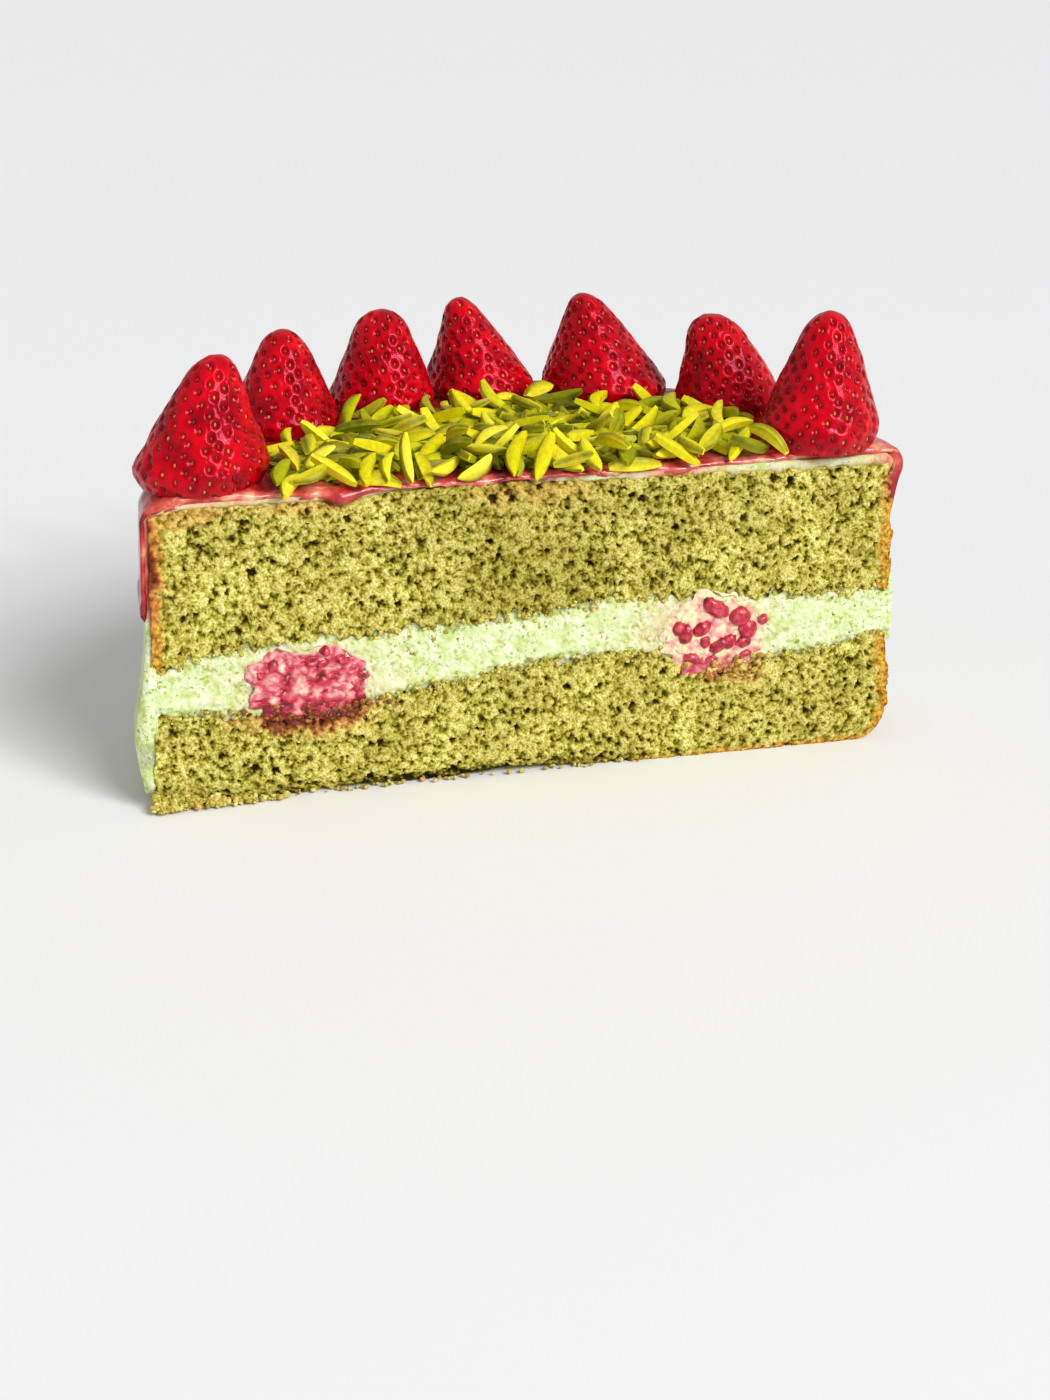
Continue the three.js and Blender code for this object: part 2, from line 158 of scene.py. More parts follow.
bm = bmesh.new()
bmesh.ops.create_grid(bm, x_segments=2, y_segments=2, size=FLOOR_REACH)
floor_mesh = bpy.data.meshes.new("floor")
bm.to_mesh(floor_mesh)
bm.free()
floor_mesh.materials.append(new_finish("floor", Base_Color=srgb(238, 238, 238), Roughness=0.7))
floor = bpy.data.objects.new("floor", floor_mesh)
scene.collection.objects.link(floor)
floor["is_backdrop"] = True

shine("window", "SUN", (0.4, -0.69, 0.66), energy=2.85, angle=math.radians(32))
shine("right_lamp", "AREA", (0.42, -0.8, 0.58), energy=1.0, size=0.055)
shine("left_lamp", "AREA", (-0.85, -0.45, 0.4), energy=0.25, size=0.4)

sky = bpy.data.worlds.new("sky")
sky.use_nodes = True
sky.node_tree.nodes["Background"].inputs["Color"].default_value = (0.98, 0.985, 1, 1)
sky.node_tree.nodes["Background"].inputs["Strength"].default_value = 0.45
scene.world = sky
scene.view_settings.view_transform = "Standard"

# %% [markdown]
# ## Chance and unevenness
# Food is never even, so most shapes here are pushed about by noise. Two kinds are enough: a smooth
# drift, for slow swells and ragged edges, and single spots strewn over a grid, for the bubbles and
# lumps of the crumb. Both work on whole arrays of points at once, which keeps 100,000 points quick,
# and both always give the same values, so that the cake looks the same on every run.

# %% Smooth noise
shuffler = np.random.default_rng(5)
SHUFFLE = shuffler.permutation(256)
SLOPES = shuffler.normal(size=(256, 3))
SLOPES /= np.linalg.norm(SLOPES, axis=1, keepdims=True)


def drift(points, size, seed=0):
    """Smooth noise from about -1 to 1 at each point, with features about one size apart."""
    place = np.asarray(points, float) / size + seed * 7.31
    cell = np.floor(place).astype(int)
    part = place - cell
    ease = part ** 3 * (part * (part * 6 - 15) + 10)
    total = np.zeros(len(place))
    for corner in itertools.product((0, 1), repeat=3):
        x, y, z = ((cell + corner) & 255).T
        slope = SLOPES[SHUFFLE[(SHUFFLE[(SHUFFLE[x] + y) & 255] + z) & 255]]
        weight = np.prod(np.where(corner, ease, 1 - ease), axis=1)
        total += weight * np.sum(slope * (part - corner), axis=1)
    return 1.6 * total


def drifts(points, *layers):
    """Layers of drift added up. Each is its height, the size of its features and its seed."""
    return sum(height * drift(points, size, seed) for height, size, seed in layers)


def three_drifts(points, size, seeds):
    """A push along x, y and z for each point."""
    return np.stack([drift(points, size, seed) for seed in seeds], axis=1)


def on_line(x):
    """Points on the line of the cut, for noise that runs along it."""
    return np.stack([x, 0 * x, 0 * x], axis=1)


def between(low, high, share):
    return low + (high - low) * share


def rise(value, low, high):
    """0 below low, 1 above high, and smooth between them."""
    share = np.clip((np.asarray(value, float) - low) / (high - low), 0, 1)
    return share * share * (3 - 2 * share)


def fall(value, low, high):
    return 1 - rise(value, low, high)


def spot(value, width):
    """1 at zero, and falling away smoothly over a width."""
    return np.exp(-((value / width) ** 2))


# %% Bubbles and lumps strewn over the cut
def chances(cell, seed, count):
    """Random numbers from 0 to 1 for each cell of a grid, always the same for the same cell."""
    across, up = cell.astype(np.uint64).T
    key = across * np.uint64(374761393) + up * np.uint64(668265263) + np.uint64(seed * 9781)
    keep = np.uint64(0xFFFFFFFF)
    found = []
    for draw in range(count):
        mixed = (key + np.uint64(draw * 40503)) & keep
        mixed = ((mixed ^ (mixed >> np.uint64(15))) * np.uint64(2246822519)) & keep
        mixed = ((mixed ^ (mixed >> np.uint64(13))) * np.uint64(3266489917)) & keep
        found.append((mixed ^ (mixed >> np.uint64(16))).astype(float) / 2 ** 32)
    return found


def spots_near(points, spacing, seed, count):
    """For each of the nine cells round a point: how far off its spot is, and its random numbers."""
    across = points[:, [0, 2]] / spacing
    cell = np.floor(across).astype(np.int64)
    for step in itertools.product((-1, 0, 1), repeat=2):
        near = cell + step
        right, up, *luck = chances(near, seed, count + 2)
        yield np.hypot(across[:, 0] - near[:, 0] - right, across[:, 1] - near[:, 1] - up), *luck


def bubbles(points, spacing, radii, share, seed):
    """How deep each point of the cut face lies in a bubble that the knife opened, in mm."""
    deepest = np.zeros(len(points))
    for gap, size, behind, kept in spots_near(points, spacing, seed, 3):
        radius = between(*radii, size ** 2)
        middle = radius * between(-0.6, 0.75, behind)
        inside = radius ** 2 - (gap * spacing) ** 2
        opened = (inside > middle ** 2) & (kept < share)
        depth = middle + np.sqrt(np.clip(inside, 0, None))
        deepest = np.maximum(deepest, np.where(opened, depth, 0))
    return deepest


def granules(points, spacing, seed):
    """Rounded lumps, one in each cell of a grid: how high, and a random number for each lump."""
    nearest = np.full(len(points), 9.0)
    fate = np.zeros(len(points))
    for gap, luck in spots_near(points, spacing, seed, 1):
        fate = np.where(gap < nearest, luck, fate)
        nearest = np.minimum(nearest, gap)
    return np.sqrt(np.clip(1 - (nearest / 0.75) ** 2, 0, 1)), fate


# %% [markdown]
# ## From a box to a half disc
# Each layer starts as a box whose faces are cut into a grid. The box is 2 wide, 1 deep and 1 high,
# and its plan is then bent into a half disc: the front stays straight and becomes the cut, and the
# other three sides become the round side. This has no pole in the middle, as a fan of wedges has,
# so the grid stays even all over.
#
# Only the cut face and the bare crust need a fine grid. There the edges are divided once more with
# grid fill, and the coarse faces next to them simply gain corners.

# %% Helpers for boxes and pieces
TINY = 1e-6


def grid_box(columns, rows, tiers):
    """A closed box: x from -1 to 1, y and z from 0 to 1, with its faces cut into a grid."""
    box = bmesh.new()
    bmesh.ops.create_cube(box, size=1)
    bmesh.ops.translate(box, verts=box.verts, vec=(0, 0.5, 0.5))
    bmesh.ops.scale(box, verts=box.verts, vec=(2, 1, 1))
    for axis, parts in enumerate((columns, rows, tiers)):
        along = [e for e in box.edges if abs(e.verts[0].co[axis] - e.verts[1].co[axis]) > TINY]
        if parts > 1:
            bmesh.ops.subdivide_edges(box, edges=along, cuts=parts - 1, use_grid_fill=True)
    return box


def faces_where(bm, test):
    return [face for face in bm.faces if all(test(corner.co) for corner in face.verts)]


def refine(bm, faces, cuts):
    edges = list({edge for face in faces for edge in face.edges})
    bmesh.ops.subdivide_edges(bm, edges=edges, cuts=cuts, use_grid_fill=True)


def as_mesh(bm, name):
    mesh = bpy.data.meshes.new(name)
    bm.to_mesh(mesh)
    bm.free()
    return mesh


def points_of(mesh):
    flat = np.empty(len(mesh.vertices) * 3)
    mesh.vertices.foreach_get("co", flat)
    return flat.reshape(-1, 3)


def move_points(mesh, points):
    mesh.vertices.foreach_set("co", np.ascontiguousarray(points, np.float32).ravel())
    mesh.update()


def finish_piece(mesh, finish, slot, replaced=(), **painted):
    """Takes a mesh into the frame, as a piece that rides with the cake. What is painted is a number
    for each vertex, which the finish reads by its name."""
    for name, numbers in painted.items():
        layer = mesh.attributes.new(name, "FLOAT", "POINT")
        layer.data.foreach_set("value", np.broadcast_to(numbers, len(mesh.vertices)).astype(np.float32))
    mesh.transform(TO_FRAME)
    mesh.shade_smooth()
    mesh.materials.append(finish)
    piece = bpy.data.objects.new(mesh.name, mesh)
    scene.collection.objects.link(piece)
    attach(piece, "root")
    if replaced:
        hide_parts(*replaced)
    print(f"{piece.name}: {sum(len(p.vertices) - 2 for p in mesh.polygons):,} triangles")


# %% The box bent into a half disc
RADIUS = 88.4  # of the sponge, at its foot
SPONGE_TOP = 69.8


def half_disc(box, edge, low, high):
    """Bends the points of a grid box. edge(angle, z) is the radius, low and high(x, y) are faces."""
    u, plain, w = box.T
    v = np.sin(plain * math.pi / 2)  # narrower rows towards the rim
    across = u * np.sqrt(1 - v * v / 2)
    deep = v * np.sqrt(1 - u * u / 2)
    angle = np.arctan2(deep, across)
    wide, back = across * RADIUS, deep * RADIUS
    radius = edge(angle, between(low(wide, back), high(wide, back), w))
    x, y = across * radius, deep * radius
    return np.stack([x, y, between(low(x, y), high(x, y), w)], axis=1)


# %% [markdown]
# ## Where the layers meet
# The layers are not level: the filling is thin at the left and thick in the middle. These are the
# same named heights and thicknesses that the solids are made from, so every piece keeps its form.

# %% The shape of the whole
TAPER = 2.8
SHIFT = (0.7, -0.4)  # of the foot and of the top, along the cut
FILLING_UNDERSIDE = [21.6, 20.6, 20.6, 24.2, 27.3, 27.8, 23.4, 24.4, 28.0]
FILLING_UPPERSIDE = [33.4, 37.0, 37.8, 38.4, 39.6, 41.6, 40.4, 39.6, 39.4]
RASPBERRY_X = (-52.6, 44.0)
GLAZE_THICKNESS = 1.1
BERRY_SIZES = ("x", "y", "width", "height", "lean_x", "lean_y", "blunt", "turn")
STRAWBERRIES = [
    dict(zip(BERRY_SIZES, sizes))
    for sizes in (
        (-73.0, 12.0, 28.6, 28.2, 4.4, -0.5, 0.22, 0.4),
        (-48.5, 50.3, 26.6, 24.0, 0.4, 0.3, 0.25, 1.1),
        (-22.2, 64.0, 25.2, 24.5, 0.4, 0.2, 0.36, 2.3),
        (4.7, 71.4, 27.4, 24.6, -5.3, 1.1, 0.17, 1.7),
        (34.7, 62.6, 32.0, 25.9, -6.0, 1.4, 0.17, 1.7),
        (60.6, 42.6, 25.3, 23.6, -5.4, 1.1, 0.37, 2.9),
        (70.2, 9.2, 28.4, 31.0, 0.8, -0.4, 0.26, 0.9),
    )
]


def rightward(x):
    return np.clip((x + RADIUS) / (2 * RADIUS), 0, 1)


def along_cut(heights, x):
    place = rightward(x) * (len(heights) - 1)
    first = np.minimum(np.floor(place).astype(int), len(heights) - 2)
    heights = np.array(heights)
    return between(heights[first], heights[first + 1], rise(place - first, 0, 1))


def near_rim(x, y, width):
    return 1 - np.clip((RADIUS - np.hypot(x, y)) / width, 0, 1)


def sponge_top(x, y):
    sunk = 2.6 * fall(rightward(x), 0.05, 0.6)
    return SPONGE_TOP + near_rim(x, y, 12) ** 2 * (0.8 * rightward(x) ** 4 - sunk)


def coat_top(x, y):
    thickness = between(0.7, 2.0, rightward(x)) - 0.8 * near_rim(x, y, 5) ** 2
    return sponge_top(x, y) + 0.3 + np.maximum(0.5, thickness)


def glaze_top(x, y):
    return coat_top(x, y) + GLAZE_THICKNESS


def baked_radius(angle, z):
    up = z / SPONGE_TOP
    return RADIUS - TAPER * up + between(*SHIFT, up) * np.cos(angle)


def bareness(angle):
    """1 at the right end of the round side, 0 where the coat of cream covers it."""
    return fall(angle, 0, 0.3)


def on_side(angle, z):
    """Points on the round side, for noise to read."""
    return np.stack(np.broadcast_arrays(RADIUS * np.cos(angle), RADIUS * np.sin(angle), z), axis=-1)


# %% [markdown]
# ## A small kit for finishes
# Every finish is a few nodes in front of one Principled shader. Short helpers keep them readable:
# each adds one node, sets what is given as a value and links what is given as another node's output.
# Noise reads Object coordinates, which are metres, so it is given as the size of a feature in mm.

# %% Node helpers
def add(finish, kind, inputs=(), **settings):
    """Adds a node. inputs gives each socket its value, or the output that feeds it."""
    node = finish.node_tree.nodes.new(kind)
    for name, value in settings.items():
        setattr(node, name, value)
    for socket, source in dict(inputs).items():
        if isinstance(source, bpy.types.NodeSocket):
            finish.node_tree.links.new(source, node.inputs[socket])
        else:
            node.inputs[socket].default_value = source
    return node


def ramp(finish, factor, *stops):
    """Colours along a factor. A stop is its place and three steps of colour, or one linear grey."""
    node = add(finish, "ShaderNodeValToRGB", {"Fac": factor})
    elements = node.color_ramp.elements
    while len(elements) < len(stops):
        elements.new(0.5)
    for element, (place, *colour) in zip(elements, stops):
        element.position = place
        element.color = srgb(*colour) if len(colour) == 3 else colour * 3 + [1]
    return node.outputs["Color"]


def painted(finish, name):
    return add(finish, "ShaderNodeAttribute", attribute_name=name).outputs["Fac"]


def grain(finish, size, detail=2, roughness=0.5):
    """Noise with features of a size in mm."""
    place = add(finish, "ShaderNodeTexCoord").outputs["Object"]
    inputs = {"Vector": place, "Scale": 1 / (size * MM), "Detail": detail, "Roughness": roughness}
    return add(finish, "ShaderNodeTexNoise", inputs).outputs["Fac"]


def blend(finish, factor, first, second, way="MIX"):
    inputs = {0: factor, 6: first, 7: second}  # the sockets of a Mix node that take colours
    return add(finish, "ShaderNodeMix", inputs, data_type="RGBA", blend_type=way).outputs[2]


def maths(finish, way, first, second):
    return add(finish, "ShaderNodeMath", {0: first, 1: second}, operation=way).outputs[0]


def varied(finish, name, amount, size):
    """A painted number that grain pushes up and down."""
    centred = maths(finish, "SUBTRACT", grain(finish, *size), 0.5)
    return maths(finish, "ADD", painted(finish, name), maths(finish, "MULTIPLY", centred, amount))


def dress(finish, colour, height=None, depth=0):
    """Gives the shader its colour, and a bump of a depth in mm from a height."""
    links = finish.node_tree.links
    links.new(colour, shader_of(finish).inputs["Base Color"])
    if height is not None:
        bump = add(finish, "ShaderNodeBump", {"Strength": 1.0, "Distance": depth * MM, "Height": height})
        links.new(bump.outputs["Normal"], shader_of(finish).inputs["Normal"])
    return finish


# %% [markdown]
# ## Finish of the sponge
# A crumb is bright where it was torn, and painted shade darkens it deep in its bubbles and between its
# lumps. The crust is golden brown. Where fruit has soaked in, it is orange to dark red. The mesh
# carries four painted numbers for this: the painted shade and tone of the crumb, crust, stain, and
# shade for broad darker patches. Real light in real pits does most of the work, and the painted shade
# only deepens it.

# %% Sponge
def sponge_finish():
    finish = new_finish("sponge_crumb", Roughness=0.9, Specular_IOR_Level=0.12)
    pit, soak = painted(finish, "pit"), painted(finish, "stain")
    # The crumb runs from light to dark with the painted shade and tone of its pits.
    crumb = ramp(
        finish, pit,
        (0.0, 252, 246, 176), (0.25, 228, 219, 122), (0.5, 182, 173, 74), (0.75, 112, 104, 22),
        (1.0, 46, 40, 3),
    )
    fine = ramp(
        finish, grain(finish, 0.5, 3, 0.6),
        (0.36, 148, 144, 74), (0.5, 232, 230, 206), (0.62, 255, 255, 255),
    )
    crumb = blend(finish, 0.85, crumb, fine, "MULTIPLY")
    patches = ramp(finish, painted(finish, "shade"), (0.0, 255, 252, 236), (1.0, 206, 200, 166))
    crumb = blend(finish, 1.0, crumb, patches, "MULTIPLY")
    brown = ramp(
        finish, grain(finish, 1.2, 4, 0.65),
        (0.32, 98, 52, 8), (0.48, 188, 124, 28), (0.64, 234, 194, 80),
    )
    crumb = blend(finish, painted(finish, "crust"), crumb, brown)
    juice = ramp(
        finish, soak,
        (0.0, 236, 206, 110), (0.35, 226, 166, 84), (0.6, 206, 110, 70), (0.85, 160, 50, 40),
        (1.0, 112, 22, 24),
    )
    # Juice darkens with the same painted shade of the pits.
    pale = ramp(finish, pit, (0.0, 255, 255, 255), (1.0, 110, 92, 80))
    juicy = blend(finish, 1.0, juice, pale, "MULTIPLY")
    strength = ramp(finish, soak, (0.0, 0), (0.5, 0.5), (1.0, 0.9))
    colour = blend(finish, strength, crumb, juicy)
    return dress(finish, colour, grain(finish, 0.35, 3), 0.15)


SPONGE = sponge_finish()

# %% [markdown]
# ## The two layers of sponge
# The knife and the fork leave an open crumb: bubbles from a pinprick to 2 mm, torn walls between
# them, and here and there a deeper tear. A bump map alone would look painted on, so the cut face
# gets a grid of 0.3 mm and every bubble is really there. The bubbles are shallow near the baked
# side, where the crumb is dense. The joint with the cream is ragged, and the cream runs on behind
# it into the sponge, so that no gap opens between them.

# %% The crumb of a cut face
def torn_crumb(points, dense):
    """How far each point of the cut lies behind the knife's path, and its painted shade and tone, from 0 to
    1.
    """
    warped = points + 0.6 * three_drifts(points, 0.9, (1, 2, 3))
    clumps = drifts(points, (0.45, 2.1, 4), (0.5, 1.15, 5), (0.5, 0.62, 6), (0.15, 4, 7))
    lumps, fate = granules(warped, 1.25, 19)
    pores = bubbles(warped, 1.8, (0.25, 0.6), 0.5, 29)
    caves = bubbles(warped, 4.8, (0.5, 1.15), 0.45, 47)
    holes = np.maximum(pores, caves) * (1 - 0.8 * dense)
    hollows = 0.7 * rise(-clumps, 0.05, 0.7) * (1 - 0.5 * dense)
    tears = 0.4 * (0.5 + 0.5 * drift(points, 7, 6))
    depth = 0.35 + tears + np.maximum(hollows, holes) - 0.35 * np.clip(clumps, 0, 1) + 0.3 * (0.6 - lumps)
    # Painted shade: dark in holes and hollows and between the lumps, lighter on the clumps, with a little
    # random tone.
    dark = 0.36 - 0.8 * clumps + 0.55 * (0.66 - lumps) + 0.25 * (fate - 0.5) + 0.9 * rise(holes, 0.15, 0.9)
    return depth, np.clip(dark, 0, 1)


def soaked(points, patches):
    """How far fruit juice has soaked in, from 0 to 1. Each patch is x, z, half width, height, strength."""
    ragged = drifts(points, (0.35, 4, 8), (0.3, 1.3, 9))
    found = np.zeros(len(points))
    for x, z, wide, high, strength in patches:
        reach = np.hypot((points[:, 0] - x) / wide, (points[:, 2] - z) / high) + ragged
        found = np.maximum(found, strength * fall(reach, 0.25, 1.25))
    return found


def ragged_edge(x, seed):
    return drifts(on_line(x), (1.8, 5, seed), (2.3, 2.1, seed + 1), (1.0, 0.9, seed + 2))


# %% The crust of the round side
def crust_radius(angle, z):
    bare = bareness(2 * angle) * fall(z, 52, 58)
    swell = drifts(on_side(angle, z), (1, 6, 3), (0.5, 2.2, 4), (0.28, 0.9, 5))
    behind_lip = 1.3 * bareness(2 * angle) * rise(z, 56, 66)
    return baked_radius(angle, z) + between(0.55, 1.1, bare) * swell + behind_lip


def quarter_round(share):
    """How far a rounded edge is drawn in: 1 at the edge itself, 0 where the rounding ends."""
    return 1 - np.sqrt(1 - (1 - np.clip(share, 0, 1)) ** 2)


def foot_round(angle, z):
    size = between(3, 9, (1 + np.cos(angle)) / 2)
    return size * quarter_round(z / size)


# %% Both layers
COLUMNS, ROWS = 60, 30
FINE_CUTS = 9


def sponge_layer(name, node, tiers, edge, low, high, patches, settle):
    """settle moves the bent points once more, before the crumb is torn."""
    box = grid_box(COLUMNS, ROWS, tiers)
    fine = faces_where(box, lambda c: c.y < TINY)
    fine += faces_where(box, lambda c: c.x > 1 - TINY and c.y < 0.4)
    refine(box, fine, FINE_CUTS)
    mesh = as_mesh(box, name)
    box_points = points_of(mesh)
    points = settle(half_disc(box_points, edge, low, high))
    x, z = points[:, 0], points[:, 2]
    cut = box_points[:, 1] < TINY
    from_side = edge(np.arctan2(points[:, 1], x), z) - np.hypot(x, points[:, 1])
    depth, dark = torn_crumb(points, fall(from_side, 0.6, 3.0))
    points[:, 1] += np.where(cut, depth, 0)
    move_points(mesh, points)
    wander = drifts(points, (1.7, 3, 12), (1.5, 1.1, 11))
    baked = between(rise(z, 29, 34), 1, rise(x, -60, 0))
    under = fall(z + 0.8 * wander, 0.3, 1.5) * rise(x, 0, 60)
    wide = between(3.6, 4.0, rise(x, -60, 60))
    crust = np.maximum(fall(from_side + wander, 0.6, wide) * baked, under)
    shade = 0.5 + drifts(points, (0.5, 14, 13), (0.25, 5, 14)) + 0.45 * spot(x - 3, 28) * rise(z, 20, 45)
    # Painted shadow along the foot of the cut, where its lower edge is drawn in and lifted; it is added to
    # the painted shade of the crumb.
    shadowed = fall(z + 0.8 * wander, 0.8, 3.8) * spot(x + 18, 42)
    finish_piece(
        mesh, SPONGE, "sponge", [node],
        pit=np.where(cut, np.clip(dark + 0.75 * shadowed, 0, 1), 0.3),
        crust=crust * (1 - 0.5 * rise(dark, 0.6, 1) * cut),
        stain=soaked(points, patches),
        shade=np.clip(shade, 0, 1),
    )


def lift_foot(points):
    """The lower edge of the cut is drawn in, and lifted a little in two places."""
    x = points[:, 0]
    near = spot(points[:, 1], 6)
    lift = 1.0 * spot(x + 41, 13) + 1.6 * spot(x + 3, 13) + 0.4 * drift(on_line(x), 5, 38)
    points[:, 2] += np.clip(lift, 0, None) * near * fall(points[:, 2], 0, 9)
    drawn = between(0.5, 2.0, spot(x + 18, 42)) * fall(points[:, 2], 0, 4.5)
    points[:, 1] += drawn * spot(points[:, 1], 3)
    return points


def dip_rim(points):
    """Along the cut, the top of the sponge dips where glaze has run over it, and rises elsewhere."""
    x = points[:, 0]
    dip = 1.3 * spot(x + 14, 25) + 0.8 * spot(x - 38, 7) - 2.2 * spot(x + 43, 5) - 0.4 * spot(x + 62, 12)
    dip += drifts(on_line(x), (0.5, 3, 41), (0.45, 1.2, 42))
    points[:, 2] += dip * spot(points[:, 1], 2) * rise(points[:, 2], 58, 69)
    return points


sponge_layer(
    "lower_sponge", "sponge_bottom", 8,
    edge=lambda angle, z: crust_radius(angle, z) - foot_round(angle, z),
    low=lambda x, y: 0 * x,
    high=lambda x, y: along_cut(FILLING_UNDERSIDE, x) + ragged_edge(x, 21),
    patches=[(-53, 20.5, 17, 6, 1.2), (-44, 19, 8, 5, 1.0), (46, 22.5, 11, 5, 0.6), (53, 20, 5, 4, 0.45)],
    settle=lift_foot,
)
sponge_layer(
    "upper_sponge", "sponge_top", 11,
    edge=crust_radius,
    low=lambda x, y: along_cut(FILLING_UPPERSIDE, x) + ragged_edge(x, 31),
    high=sponge_top,
    patches=[
        (-87.5, 58, 4.5, 18, 1.0), (-80, 70, 14, 5, 0.5), (-88, 40, 3, 10, 0.5), (-52, 69, 20, 3, 0.4),
        (2, 69, 20, 6, 0.36), (87, 66, 4, 8, 0.75), (60, 71, 34, 2, 0.35),
    ],
    settle=dip_rim,
)

# %% [markdown]
# ## Cream
# The cream is whipped and tinted a pale green by ground pistachio. It lets light in a little way,
# so it gets some subsurface scattering with a radius of about a millimetre, and a soft gloss. The
# green flecks are fine noise, cut off so low that only small islands are left, and slower noise
# decides where they lie thick. Beads of mesh would cost far more and hardly show.

# %% Cream finish
def cream_finish():
    finish = new_finish(
        "whipped_cream", Roughness=0.5, Specular_IOR_Level=0.25,
        Subsurface_Weight=0.25, Subsurface_Radius=(1.0, 0.9, 0.5), Subsurface_Scale=1.2 * MM,
    )
    cream = ramp(
        finish, grain(finish, 3.5, 5, 0.7),
        (0.34, 184, 205, 108), (0.46, 213, 226, 164), (0.6, 230, 238, 204),
    )
    specks = ramp(finish, grain(finish, 1.0, 3, 0.6), (0.38, 1), (0.44, 0))
    dusted = ramp(finish, grain(finish, 7, 3), (0.42, 0.15), (0.6, 0.95))
    fleck = blend(finish, 1.0, specks, dusted, "MULTIPLY")
    cream = blend(finish, fleck, cream, srgb(152, 180, 60))
    cream = blend(finish, painted(finish, "berry_tint"), cream, srgb(226, 128, 110))
    cream = blend(finish, painted(finish, "crumbed"), cream, srgb(172, 172, 70))
    return dress(finish, cream, grain(finish, 0.9, 5, 0.65), 0.45)


CREAM = cream_finish()

# %% [markdown]
# ## The filling
# At the cut the cream shows smears from the knife, small air holes and the drag of crumbs. Its
# faces run a little into both layers of sponge, whose torn edges then cover the joint. It is the
# same bent box as the sponge, with its own noise pushed into the cut.

# %% Filling
FILLING_TIERS = 7
FILLING_CUTS = 7
INTO_SPONGE = 2.6  # how far the cream runs into each layer, in mm


def cream_smears(points):
    """How far the cream's cut face lies behind the knife's path."""
    swirl = 0.35 * drift(points * (0.45, 1, 1), 3.2, 15) + drifts(points, (0.25, 1.1, 16), (0.12, 0.6, 17))
    return 0.45 + swirl + 0.8 * bubbles(points, 5.5, (0.25, 0.8), 0.35, 61)


def filling_radius(angle, z):
    return baked_radius(angle, z) + 1.1 * bareness(angle) + 0.3 * drift(on_side(angle, z), 4, 17)


def filling():
    box = grid_box(COLUMNS, ROWS, FILLING_TIERS)
    refine(box, faces_where(box, lambda c: c.y < TINY), FILLING_CUTS)
    mesh = as_mesh(box, "filling")
    box_points = points_of(mesh)
    points = half_disc(
        box_points,
        edge=filling_radius,
        low=lambda x, y: along_cut(FILLING_UNDERSIDE, x) - INTO_SPONGE,
        high=lambda x, y: along_cut(FILLING_UPPERSIDE, x) + INTO_SPONGE,
    )
    x, z = points[:, 0], points[:, 2]
    from_joint = np.minimum(z - along_cut(FILLING_UNDERSIDE, x), along_cut(FILLING_UPPERSIDE, x) - z)
    tucked = 1.1 * fall(from_joint + drifts(points, (1.7, 2.4, 49), (1.0, 0.9, 51)), -1.0, 2.0)
    points[:, 1] += np.where(box_points[:, 1] < TINY, cream_smears(points) + tucked, 0)
    move_points(mesh, points)
    near_left = spot(np.hypot((x + 53) / 1.8, z - 27), 8.5)
    near_right = spot(np.hypot((x - 40) / 1.5, z - 33), 8.5)
    streaks = 0.6 + 0.6 * drift(points, 2.5, 18)
    clods = drifts(points, (1, 2.4, 43), (0.6, 0.8, 48)) + 0.5 * fall(from_joint, -0.5, 3)
    finish_piece(
        mesh, CREAM, "cream", ["cream_filling"],
        berry_tint=np.clip((0.6 * near_left + 0.9 * near_right) * streaks, 0, 1),
        crumbed=np.clip(0.85 * rise(clods, 0.5, 0.95), 0, 0.8),
    )


filling()

# %% [markdown]
# ## Coat and glaze
# Both are skins over the top and down the round side. The top and the three sides of the grid box
# make such a skin, open at the cut and at the foot. Extruding it once gives it a second surface:
# the first stays inside, the extruded one is bent by larger radii and heights, and the faces that
# the extrusion leaves along its border close the cut edge and the foot.

# %% A skin over the cake
SKIN_COLUMNS, SKIN_ROWS = 150, 70


def skin(name, tiers, inner, outer, rim):
    """inner and outer give edge, low and high. rim is the radius of the rounded upper edge."""
    box = grid_box(SKIN_COLUMNS, SKIN_ROWS, tiers)
    open_faces = faces_where(box, lambda c: c.y < TINY) + faces_where(box, lambda c: c.z < TINY)
    bmesh.ops.delete(box, geom=open_faces, context="FACES")
    copy = bmesh.ops.extrude_face_region(box, geom=list(box.faces), use_keep_orig=True)
    box.verts.index_update()
    outside = [v.index for v in copy["geom"] if isinstance(v, bmesh.types.BMVert)]
    mesh = as_mesh(box, name)
    box_points = points_of(mesh)
    box_points[:, 2] = 1 - (1 - box_points[:, 2]) ** 1.5  # more tiers near the rim
    is_outer = np.zeros(len(box_points), bool)
    is_outer[outside] = True
    edge, low, high = outer

    def rounded(angle, z):
        top = high(RADIUS * np.cos(angle), RADIUS * np.sin(angle))
        return edge(angle, z) - rim * quarter_round((top - z) / rim)

    outer_points = half_disc(box_points, rounded, low, high)
    points = np.where(is_outer[:, None], outer_points, half_disc(box_points, *inner))
    return mesh, points, is_outer, box_points[:, 1] < TINY


# %% Coat of cream
def side_foot(x, y):
    angle = np.arctan2(y, x)
    flat = np.stack([5 * angle, 0 * angle + 3, 0 * angle], axis=1)
    return between(4.5, 60, bareness(angle)) + 1.2 * drift(flat, 1, 19) + 0.5 * drift(flat, 0.3, 20)


def coat_radius(angle, z):
    """It thins out to nothing at the right end, where the glaze lies on bare crust."""
    end = rise(angle, math.pi * 0.6, math.pi)
    strokes = drift(on_side(angle, z) * (0.35, 0.35, 1), 3, 21)
    sag = 3.0 * between(0.3, 1, end) * spot(z - 17, 13)
    return baked_radius(angle, z) + 1.1 * (1 - bareness(angle)) + sag + 0.22 * strokes


